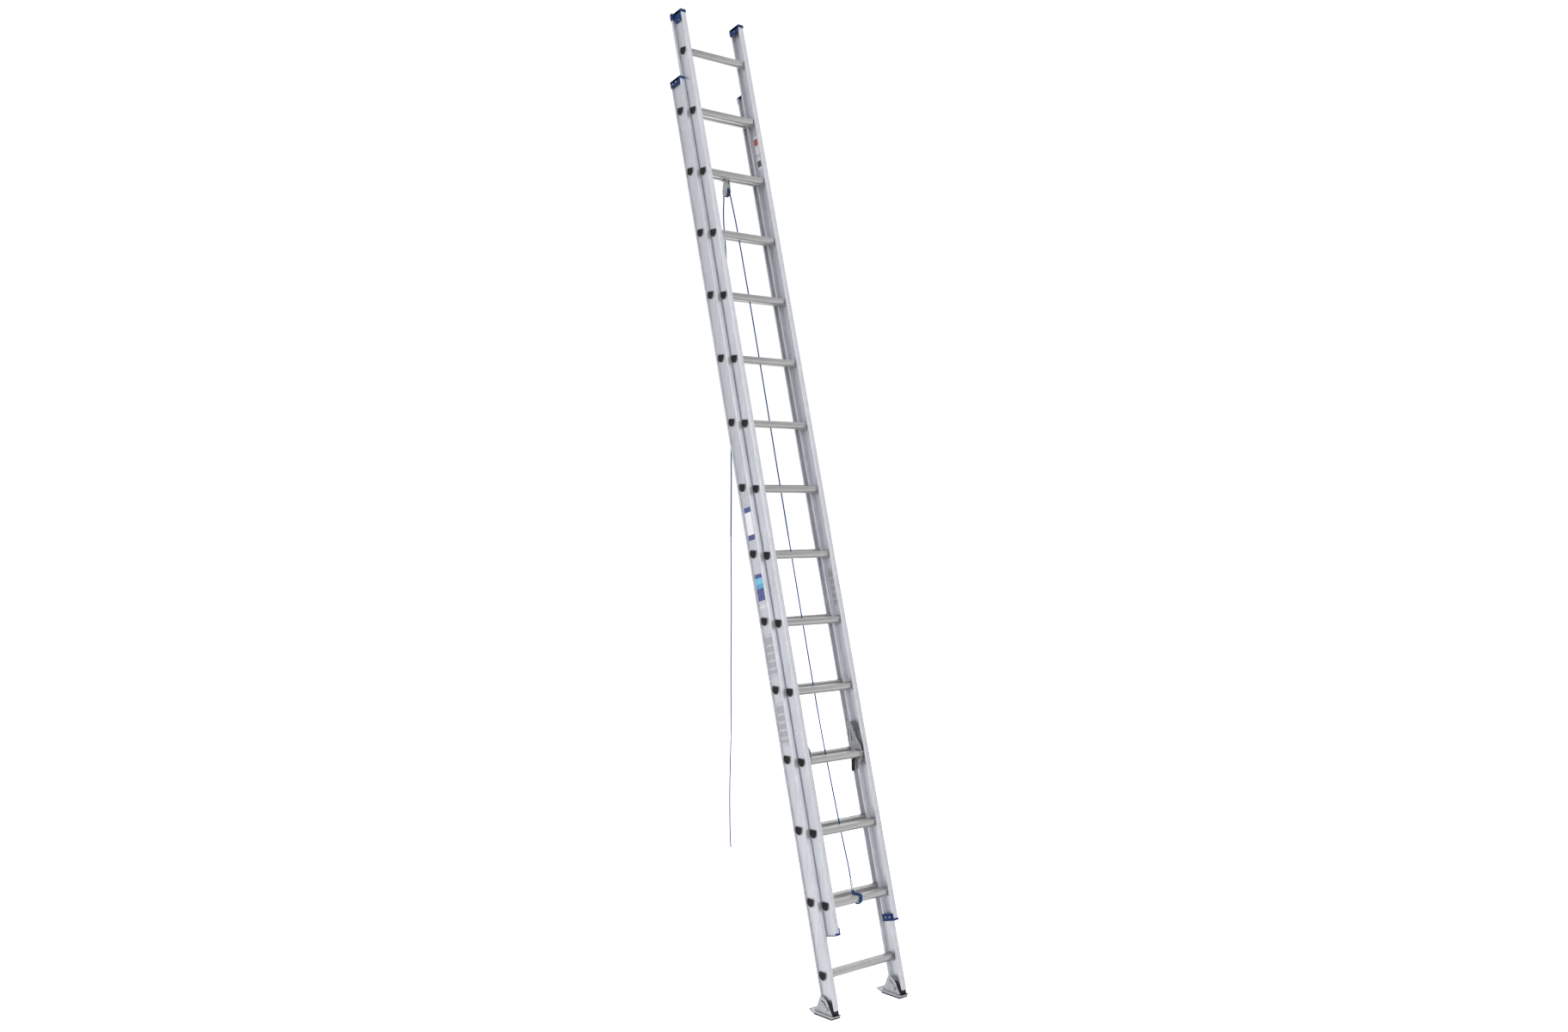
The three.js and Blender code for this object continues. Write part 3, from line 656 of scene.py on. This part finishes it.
def rails():
    for side, name in SIDES:
        outline = rounded(sided(base_section(), side), 0.7, 3)
        finish_mesh(f"rail_base_{name}", along_rails(outline, *BASE_ENDS), "rail_aluminium", "base_section",
                    [f"base_rail_{name}"], angle=40)
        outline = rounded(sided(fly_section(), side), 0.7, 3)
        finish_mesh(f"rail_fly_{name}", along_rails(outline, *FLY_ENDS), "rail_aluminium", "fly_section",
                    [f"fly_rail_{name}"], angle=40)


def rung_outline(grow, ribs):
    """D section: ribbed level tread, ribbed front and back, round belly."""
    half = 18.5 + grow
    depth = 1.2 * ribs
    points = []
    count = 8
    for i in range(count):
        a = -15.0 + 30.0 * i / count
        for share, drop in ((0.12, 0.0), (0.5, 0.0), (0.62, 1.0), (0.98, 1.0)):
            points.append((a + 30.0 / count * share, 12.5 + grow - depth * drop))
    points.append((15.5 + grow * 0.4, 12.5 + grow))
    points += [(17.4 + grow * 0.8, 11.7 + grow * 0.8), (half - 0.1, 10.0 + grow * 0.5), (half, 8.6)]
    flank = ((7.2, 0), (6.6, 1), (4.8, 1), (4.2, 0), (2.4, 0), (1.8, 1), (0.2, 1), (-0.4, 0))
    points += [(half - depth * 0.7 * drop, z) for z, drop in flank]
    for i in range(1, 24):
        t = -math.pi * i / 24
        points.append((half * math.cos(t), -1 + half * math.sin(t)))
    points += [(-half + depth * 0.7 * drop, z) for z, drop in reversed(flank)]
    points += [(-half, 8.6), (-half + 0.1, 10.0 + grow * 0.5), (-17.4 - grow * 0.8, 11.7 + grow * 0.8)]
    points.append((-15.5 - grow * 0.4, 12.5 + grow))
    return points


def rung_mesh(axis, web):
    """web is the outer face of the rail web, in millimetres from the middle."""
    tip = web + 3.2
    end = [(tip, 0.4, 0), (tip, 2.4, 0), (tip - 0.5, 3.3, 0), (tip - 1.2, 3.6, 0), (web + 0.9, 3.6, 0),
           (web + 0.3, 3.2, 0), (web + 0.1, 2.2, 0), (web + 0.05, 0, 0), (web - 2.45, 0, 0),
           (web - 2.5, 2.6, 0), (web - 2.9, 3.2, 0), (web - 4.2, 3.3, 0), (web - 6.0, 2.4, 0.2),
           (web - 8.5, 0.6, 0.8), (web - 11.0, 0, 1.0)]
    stations = [(-x, grow, ribs) for x, grow, ribs in end]
    stations += [(x, grow, ribs) for x, grow, ribs in reversed(end)]
    stations = [(-tip + 2.0, -0.6, 0)] + stations + [(tip - 2.0, -0.6, 0)]
    rings = []
    for x, grow, ribs in stations:
        rings.append([axis + Vector((x, y, z)) * MM for y, z in rung_outline(grow, ribs)])
    return loft(rings)


def rung_end_shade_mesh(axis, x, out):
    """Black D-shaped fill in a rung's open end, painted shade for the dark inside of the hollow rung tube;
    its thin brim covers the tube's edge.
    """
    rings = []
    brim = ((-0.6, -2.0), (-0.6, 0.05), (1.5, 0.05), (1.5, 0.5), (1.0, 0.9), (-2.4, 1.0), (-3.2, 0.6),
            (-9.0, 0.6))
    for grow, depth in brim:
        rings.append([axis + Vector((x + out * depth, y, z)) * MM for y, z in rung_d_outline(grow)])
    return loft(rings)


def rung_d_outline(grow):
    half = 18.5 + grow
    points = [(-15.5 - grow * 0.4, 12.5 + grow), (15.5 + grow * 0.4, 12.5 + grow),
              (17.6 + grow, 11.4 + grow * 0.9), (half, 9.5 + grow * 0.5)]
    belly = [-math.pi * i / 16 for i in range(17)]
    points += [(half * math.cos(t), -1 + half * math.sin(t)) for t in belly]
    points += [(-half, 9.5 + grow * 0.5), (-17.6 - grow, 11.4 + grow * 0.9)]
    return points


def rungs():
    for body, half, prefix in (("base_section", BASE_HALF - 7, "base"), ("fly_section", 190.5 - 2.5, "fly")):
        shade_fills = []
        for i in range(1, RUNGS + 1):
            axis = at(0, PITCH * (i - 1), 0) if prefix == "base" else at(0, PITCH * i - FLY_DROP, FLY_N)
            finish_mesh(f"rung_{prefix}_{i:02d}", rung_mesh(axis, half), "rung_aluminium", body,
                        [f"{prefix}_rung_{i:02d}"], angle=36)
            tip = half + 3.2
            # A black fill in each open rung end, whose black_plastic paints the shade inside the hollow tube.
            shade_fills += [rung_end_shade_mesh(axis, -tip, -1), rung_end_shade_mesh(axis, tip, 1)]
        finish_mesh(f"rung_end_shade_{prefix}", merged(*shade_fills), "black_plastic", body, angle=40)


# ---------------------------------------------------------------- plastic caps, rivets and labels

def rivet(centre, axis, radius=4.0):
    profile = [(0, -0.8), (radius, -0.8), (radius, 0.2), (radius * 0.93, 0.7), (radius * 0.7, 1.3),
               (radius * 0.35, 1.6), (0, 1.7)]
    return turned(profile, centre, axis, 20)


def caps():
    for side, name in SIDES:
        outward = ALONG_U * side
        low_w, high_w = -2.4, FLANGE + 0.8
        back, front = BASE_BACK - 2.4, BASE_FRONT + 2.4
        skirt = [(low_w, back), (high_w, back), (high_w, back + 2.1), (low_w + 2.1, back + 2.1),
                 (low_w + 2.1, front - 8), (low_w, front - 8)]
        rim = [(low_w, back), (high_w, back), (high_w, back + 2.1), (low_w + 2.1, back + 2.1),
               (low_w + 2.1, front - 2.1), (high_w, front - 2.1), (high_w, front), (low_w, front)]
        lid = [(low_w, back), (high_w, back), (high_w, 25), (14, 25), (14, front - 3.8),
               (high_w, front - 3.8), (high_w, front), (low_w, front)]
        top = BASE_ENDS[1]
        finish_mesh(f"cap_base_top_{name}", merged(
            plate(rounded(sided(skirt, side), 1.0), top - 30, top + 2, "rail", edge=0.7),
            plate(rounded(sided(rim, side), 1.0), top - 9, top + 2, "rail", edge=0.7),
            plate(rounded(sided(lid, side), 1.6), top + 0.3, top + 3.6, "rail", edge=1.2),
        ), "blue_cap", "base_section", [f"base_top_cap_{name}"], angle=45)

        low_w, high_w = FLY_EDGE - 2.4, FLY_EDGE + FLANGE + 3.4
        back, front = FLY_BACK - 2.4, FLY_FRONT + 2.4
        outer = [(low_w, 46), (low_w + 2.1, 46), (low_w + 2.1, front - 8), (low_w, front - 8)]
        short = [(13.6, back), (high_w, back), (high_w, front - 8), (high_w - 2.1, front - 8),
                 (high_w - 2.1, back + 2.1), (15.7, back + 2.1), (15.7, 38.3), (low_w + 1, 38.3),
                 (low_w + 1, 40.4), (13.6, 40.4)]
        rim = [(low_w, 40), (low_w + 2.1, 40), (low_w + 2.1, front - 2.1), (high_w - 2.1, front - 2.1),
               (high_w - 2.1, 40), (high_w, 40), (high_w, front), (low_w, front)]
        lid = [(13.6, back), (high_w, back), (high_w, front), (low_w, front), (low_w, 40.4), (13.6, 40.4)]
        top = FLY_ENDS[1]
        finish_mesh(f"cap_fly_top_{name}", merged(
            plate(rounded(sided(outer, side), 0.9), top - 54, top + 2, "rail", edge=0.7),
            plate(rounded(sided(short, side), 0.9), top - 30, top + 2, "rail", edge=0.7),
            plate(rounded(sided(rim, side), 1.0), top - 11, top + 2, "rail", edge=0.7),
            plate(rounded(sided(lid, side), 1.8), top + 0.3, top + 3.6, "rail", edge=1.4),
        ), "blue_cap", "fly_section", [f"fly_top_cap_{name}"], angle=45)

        low_w = FLY_EDGE - 0.8
        inner = [(high_w - 2.1, FLY_BACK), (high_w, FLY_BACK), (high_w, front), (high_w - 2.1, front)]
        rim = [(low_w, front - 2.1), (high_w - 1, front - 2.1), (high_w - 1, front), (low_w, front)]
        lid = [(FLY_EDGE + 1.4, FLY_BACK), (high_w, FLY_BACK), (high_w, front), (low_w, front),
               (low_w, 48), (FLY_EDGE + 1.4, 48)]
        low = FLY_ENDS[0]
        finish_mesh(f"cap_fly_bottom_{name}", merged(
            plate(rounded(sided(inner, side), 0.9), low - 2, low + 28, "rail", edge=0.7),
            plate(rounded(sided(rim, side), 0.9), low - 2, low + 6, "rail", edge=0.7),
            plate(rounded(sided(lid, side), 1.6), low - 3.6, low - 0.3, "rail", edge=1.2),
        ), "blue_cap", "fly_section", [f"fly_bottom_cap_{name}"], angle=45)

        base_top = BASE_ENDS[1]
        base_rivets = [rivet(at(side * (BASE_HALF + 2.4), base_top - 13, n), outward, 3.8) for n in (-17, 8)]
        base_rivets += [rivet(at(side * (BASE_HALF - 7), s, n), outward, 3.0)
                        for s, n in ((base_top - 46, -8), (base_top - 50, 22))]
        finish_mesh(f"rivets_base_{name}", merged(*base_rivets), "zinc_steel", "base_section", angle=50)
        outer_u = side * (BASE_HALF - FLY_EDGE + 2.4)
        fly_rivets = [rivet(at(outer_u, FLY_ENDS[1] - 44, 72), outward, 2.6)]
        inner_u = side * (BASE_HALF - high_w)
        fly_rivets += [rivet(at(inner_u, FLY_ENDS[0] + 13, n), -outward, 3.6) for n in (48, 72)]
        fly_rivets.append(rivet(at(inner_u, FLY_ENDS[1] - 18, 60), -outward, 2.6))
        web_u = side * (BASE_HALF - FLY_EDGE - 2.5)
        fly_rivets += [rivet(at(web_u, s, n), outward, 3.2) for s, n in ((1030, 54), (985, 70))]
        finish_mesh(f"rivets_fly_{name}", merged(*fly_rivets), "zinc_steel", "fly_section", angle=50)


LABEL_THICK = 0.25


def label(name, material, body, corner_s, size, face_n, u, side):
    """A thin sticker lying on a rail web: corner_s up the rail, size (along n, along s)."""
    width, height = size
    low_n, high_n = face_n - width / 2, face_n + width / 2
    top_s = corner_s + height
    outline = rounded([(low_n, corner_s), (high_n, corner_s), (high_n, top_s), (low_n, top_s)], 3.0, 4)
    faces = sorted((u, u + side * LABEL_THICK))
    mesh = plate(outline, *faces, "ladder", edge=0.05, steps=1)
    layer = mesh.uv_layers.new(name="UVMap") if not mesh.uv_layers else mesh.uv_layers[0]
    for loop in mesh.loops:
        co = mesh.vertices[loop.vertex_index].co - ORIGIN
        layer.data[loop.index].uv = ((co.dot(ALONG_N) / MM - face_n) / width + 0.5,
                                     (co.dot(ALONG_S) / MM - corner_s) / height)
    return finish_mesh(name, mesh, material, body, angle=40)


def labels():
    white = (0.82, 0.83, 0.84)
    grey = (0.55, 0.56, 0.58)
    navy = (0.01, 0.03, 0.20)
    film = (0.50, 0.51, 0.53)
    faded = (0.36, 0.37, 0.39)
    label_material("label_badge", white, [(0.0, navy), (0.16, white), (0.84, navy)])
    label_material("label_product", white, [
        (0.0, navy), (0.45, (0.04, 0.30, 0.55)), (0.62, (0.12, 0.50, 0.72)), (0.84, navy)])
    label_material("label_code", white, [(0.0, grey), (0.42, white), (0.55, grey)])
    label_material("label_notice", film, [
        (0.0, film), (0.08, faded), (0.16, film), (0.22, faded), (0.34, film), (0.40, faded), (0.52, film),
        (0.58, faded), (0.70, film), (0.76, faded), (0.92, film)])
    label_material("label_caution", white, [
        (0.0, white), (0.08, (0.04, 0.04, 0.045)), (0.26, white), (0.36, grey), (0.46, white),
        (0.72, (0.45, 0.03, 0.03)), (0.92, white)])
    web = -(BASE_HALF - 7) - 0.05
    on_base = (("label_badge", "label_badge", 6, 60, (44, 150)),
               ("label_product", "label_product", 5, 90, (46, 120)),
               ("label_code", "label_code", 5, 50, (40, 26)),
               ("label_notice_upper", "label_notice", 4, 55, (46, 190)),
               ("label_notice_lower", "label_notice", 3, 55, (46, 190)))
    for name, material, rung, above, size in on_base:
        label(name, material, "base_section", PITCH * rung + above, size, 5, web, -1)
    inner = BASE_HALF - FLY_EDGE - 2.5 - WALL
    on_fly = (("label_fly_notice", "label_notice", 5, 60, (44, 180)),
              ("label_fly_caution", "label_caution", 12, 70, (44, 170)))
    for name, material, rung, above, size in on_fly:
        label(name, material, "fly_section", PITCH * rung - FLY_DROP + above, size, 62, inner, -1)


# ---------------------------------------------------------------- shoes

# The shoe bolt is at s = -137, n = -4 on the rail. PIVOT is the same point on level axes.
PIVOT_S, PIVOT_N = -137, -4
PIVOT = (0.0, PIVOT_S * math.sin(LEAN) - PIVOT_N * math.cos(LEAN),
         PIVOT_S * math.cos(LEAN) + PIVOT_N * math.sin(LEAN))
SHOE_ARC = (33.0, -5.0)
FLOOR = -170.0 - PIVOT[2]


def from_pivot(points):
    return [(PIVOT[1] + y, PIVOT[2] + z) for y, z in points]


def arc(radius, low, high, steps=10):
    angles = [math.radians(low + (high - low) * i / steps) for i in range(steps + 1)]
    return [(SHOE_ARC[0] + radius * math.cos(t), SHOE_ARC[1] + radius * math.sin(t)) for t in angles]


def arc_slot(radius, low, high, half):
    return rounded(arc(radius + half, low, high) + arc(radius - half, high, low), half * 0.9, 4)


def shoes():
    cheek = [(-39, -22), (77, -22), (65, -11), (55, 7), (47, 27), (41, 41), (38, 45.5)]
    cheek += arc(52, 90, 166, 12)
    sole = [(-45, FLOOR + 7), (77, FLOOR + 7), (89, FLOOR + 10), (99, FLOOR + 16), (97, FLOOR + 19),
            (88, FLOOR + 16), (77, FLOOR + 15), (-45, FLOOR + 15)]
    guard = arc(52.5, 134, 166, 6)
    guard += [(-39.5, -20.5), (-44, -20.5), (-41, -6), (-35, 12), (-26, 28), (-12, 40)]
    backing = arc(29, 90, 152, 6) + arc(39, 152, 90, 6)
    bumper = [(-52, -20.6), (-36, -20.6), (-36, -16), (-52, -16)]
    top = FLOOR + 6.7
    pad = [(-41, top), (-43, FLOOR + 3), (-40, FLOOR)]
    for i in range(9):
        y = -32 + i * 11
        pad += [(y, FLOOR), (y + 1.2, FLOOR + 3), (y + 3.8, FLOOR + 3), (y + 5, FLOOR)]
    pad += [(66, FLOOR), (69, FLOOR + 4), (69, top)]
    for side, name in SIDES:
        body = f"swivel_shoe_{name}"
        parts = []
        for w in (-3.6, FLANGE + 0.6):
            a, b = sorted((side * (BASE_HALF - w), side * (BASE_HALF - w - 3)))
            holes = [from_pivot(circle(0, 0, 5.3)), from_pivot(arc_slot(34, 94, 150, 2.6))]
            parts.append(plate(from_pivot(rounded(cheek, 3, 3)), a, b, "level", holes, edge=0.7))
        a, b = sorted((side * (BASE_HALF + 14), side * (BASE_HALF - 40)))
        parts.append(plate(from_pivot(rounded(sole, 2.2, 4)), a, b, "level", edge=1.2))
        finish_mesh(f"foot_{name}", merged(*parts), "shoe_metal", body, [f"shoe_{name}"], angle=40)
        covers = []
        for low, high, profile in ((-3.3, -0.5, guard), (26.8, 29.2, guard), (-3.2, 26.2, bumper),
                                   (-3.3, -0.5, backing)):
            a, b = sorted((side * (BASE_HALF - low), side * (BASE_HALF - high)))
            covers.append(plate(from_pivot(rounded(profile, 1.5, 4)), a, b, "level", edge=0.8))
        finish_mesh(f"foot_guard_{name}", merged(*covers), "black_plastic", body, angle=40)
        a, b = sorted((side * (BASE_HALF + 12), side * (BASE_HALF - 38)))
        finish_mesh(f"foot_pad_{name}", plate(from_pivot(rounded(pad, 0.8, 2)), a, b, "level", edge=1.0),
                    "pad_rubber", body, [f"shoe_pad_{name}"], angle=40)
        centre = level(side * BASE_HALF, PIVOT[1], PIVOT[2])
        outward = ALONG_U * side
        stud = [(0, -37), (6.6, -37), (8, -36.4), (8, -30.4), (5, -30.2), (5, 4), (9.6, 4), (9.6, 5.2),
                (8.6, 5.4), (8.6, 8.2), (7.4, 9), (0, 9)]
        finish_mesh(f"foot_bolt_{name}", turned(stud, centre, outward, 24), "zinc_steel", "base_section",
                    [f"shoe_bolt_{name}"], angle=40)


# ---------------------------------------------------------------- rung locks

def locks():
    axis_y = (PITCH * 3 - FLY_DROP) * math.sin(LEAN) - FLY_N * math.cos(LEAN)
    axis_z = (PITCH * 3 - FLY_DROP) * math.cos(LEAN) + FLY_N * math.sin(LEAN)
    frame_plate = [(33, 1040), (30.8, 1030), (30.8, 1000), (36, 960), (36, 852), (46, 850), (60, 836),
                   (72, 852), (84, 888), (82, 930), (62, 990), (46, 1038), (40, 1042)]
    cheek = [(33, 1042), (29, 1034), (29, 1020), (31, 985), (25, 940), (23, 885), (30, 850), (38, 822),
             (46, 821), (70, 850), (89, 888), (90, 926), (70, 965), (48, 1036), (41, 1042)]
    window = [(40, 1006), (37, 950), (62, 950), (46, 1006)]
    hook = [(11, 925.1), (18, 923.1), (24, 918), (34, 913), (44, 913), (50, 920), (50, 940), (44, 1000),
            (46, 1026), (44, 1034), (38, 1038), (31, 1034), (29, 1026), (27, 1000), (24, 960), (18, 942),
            (11, 936)]
    tongue = [(-6, 1), (-4, 5.4), (0, 7), (4, 5.4), (6, 1), (5.2, -30), (4.6, -54), (0, -58),
              (-4.6, -54), (-5.2, -30)]
    pin_n, pin_s, peg_n, peg_s = 38, 1030, 43, 874
    peg_y = peg_s * math.sin(LEAN) - peg_n * math.cos(LEAN)
    peg_z = peg_s * math.cos(LEAN) + peg_n * math.sin(LEAN)
    for side, name in SIDES:
        def span(low, high):
            return sorted((side * (BASE_HALF - low), side * (BASE_HALF - high)))
        inward = -ALONG_U * side
        d_hole = [(-((y + axis_y) * math.cos(LEAN)) + (z + axis_z) * math.sin(LEAN),
                   (y + axis_y) * math.sin(LEAN) + (z + axis_z) * math.cos(LEAN))
                  for y, z in rung_d_outline(3.4)]
        a, b = span(36, 39)
        main = plate(rounded(frame_plate, 5, 4), a, b, "ladder", [d_hole], edge=0.6)
        a, b = span(66.5, 69)
        inner = plate(rounded(cheek, 5, 4), a, b, "ladder", [d_hole, rounded(window, 3, 4)], edge=0.6)
        pin = turned([(0, 0), (3, 0), (3, 36), (5, 36), (5, 37.2), (4.2, 38.6), (2, 39.4), (0, 39.5)],
                     at(side * (BASE_HALF - 37), pin_s, pin_n), inward, 24)
        spacer = turned([(0, 0), (4, 0), (4, 32), (6, 32.1), (6, 33.4), (4.8, 34.6), (0, 34.8)],
                        at(side * (BASE_HALF - 37), 852, 58), inward, 24)
        peg = turned([(0, 0), (3, 0), (3, 21.2), (4.6, 21.2), (4.6, 22), (3.8, 22.8), (0, 23)],
                     at(side * (BASE_HALF - 67.5), peg_s, peg_n), inward, 20)
        finish_mesh(f"lock_frame_{name}", merged(main, inner, pin, spacer, peg), "lock_metal", "fly_section",
                    [f"lock_bracket_{name}"], angle=40)
        a, b = span(55, 64)
        arm = plate(rounded(hook, 3, 4), a, b, "ladder", [circle(pin_n, pin_s, 3.3)], edge=0.8)
        finish_mesh(f"lock_arm_{name}", arm, "lock_metal", f"lock_arm_{name}", [f"lock_hook_{name}"],
                    angle=40)
        a, b = span(74, 88)
        tongue_at = [(peg_y + y, peg_z + z) for y, z in rounded(tongue, 2, 4)]
        flipper = plate(tongue_at, a, b, "level", [circle(peg_y, peg_z, 3.3)], edge=1.6)
        finish_mesh(f"lock_tongue_{name}", flipper, "black_plastic", f"flipper_{name}",
                    [f"lock_flipper_{name}"], angle=40)
        legs = [(15, 942, 73.5), (22, 972, 73.5), (28.5, 1006, 73)]
        for i in range(25):
            turn = math.radians(190 - 30 * i)
            legs.append((pin_n + 5.2 * math.cos(turn), pin_s + 5.2 * math.sin(turn), 70.6 + 0.13 * i))
        legs += [(47, 1008, 73.6), (60, 976, 73.5), (84, 932, 73.5)]
        path = smooth_path([at(side * (BASE_HALF - w), s, n) for n, s, w in legs], 0.0015)
        finish_mesh(f"lock_wire_{name}", tube(path, 0.0012, 12), "zinc_steel", "fly_section",
                    [f"lock_spring_{name}"], angle=60)


# ---------------------------------------------------------------- pulley

def pulley():
    x = WHEEL[0]
    rung_y, rung_z = HOIST_RUNG
    eye_y, eye_z = EYE[1], EYE[2]
    band = [(rung_y + y, rung_z + z) for y, z in rung_d_outline(3.4)]
    inner = [(rung_y + y, rung_z + z) for y, z in rung_d_outline(0.6)]
    tab = [(eye_y - 6, eye_z - 6), (eye_y + 6, eye_z - 6), (eye_y + 9, eye_z + 10), (eye_y - 1, eye_z + 22)]
    strap = plate(band, x - 9, x + 9, "level", [inner], edge=0.5)
    ear = plate(rounded(tab, 4, 4), x - 8.9, x + 8.9, "level", [circle(eye_y, eye_z, 3.3)], edge=0.6)
    finish_mesh("hoist_strap", merged(strap, ear), "zinc_steel", "base_section", ["pulley_hanger"], angle=40)
    side = [(-7, 8), (7, 8), (10, 0), (15, -30), (17, -50), (13, -64), (0, -70), (-13, -64), (-17, -50),
            (-15, -30), (-10, 0)]
    side = rounded([(eye_y + y, eye_z + z) for y, z in side], 5, 4)
    hole = [circle(WHEEL[1], WHEEL[2], 4.3)]
    left = plate(side, x - 12, x - 9.6, "level", hole, edge=0.5)
    right = plate(side, x + 9.6, x + 12, "level", hole, edge=0.5)
    pin = turned([(0, -13.4), (4.6, -13.4), (5, -12.9), (5, -12.1), (3, -12.0), (3, 12.0), (5, 12.1),
                  (5, 12.9), (4.6, 13.4), (0, 13.4)], level(*EYE), ALONG_U, 20)
    finish_mesh("hoist_block", merged(left, right, pin), "zinc_steel", "base_section", ["pulley_block"],
                angle=40)
    wheel = [(4.3, -7.5), (21.4, -7.5), (22, -7.1), (22, -6.2), (18.6, -3.4), (17.2, -1.8), (16.8, 0),
             (17.2, 1.8), (18.6, 3.4), (22, 6.2), (22, 7.1), (21.4, 7.5), (4.3, 7.5)]
    hub = level(*WHEEL)
    spokes = [WORLD_Y * y + WORLD_Z * z for y, z in circle(0, 0, 1, 40)]
    rings = [[hub + (ALONG_U * height + spoke * radius) * MM for spoke in spokes] for radius, height in wheel]
    finish_mesh("hoist_wheel", loft(rings, loop=True), "wheel_plastic", "wheel", ["pulley_wheel"], angle=40)
    axle = [(0, -15), (5.4, -15), (6, -14.4), (6, -12.3), (4, -12.2), (4, 12.2), (6, 12.3), (6, 14.4),
            (5.4, 15), (0, 15)]
    finish_mesh("hoist_axle", turned(axle, level(*WHEEL), ALONG_U, 20), "zinc_steel", "base_section",
                ["pulley_axle"], angle=40)


camera()
studio_floor()
studio_world()
studio_lights()
materials()
ropes()
rails()
rungs()
caps()
labels()
shoes()
locks()
pulley()
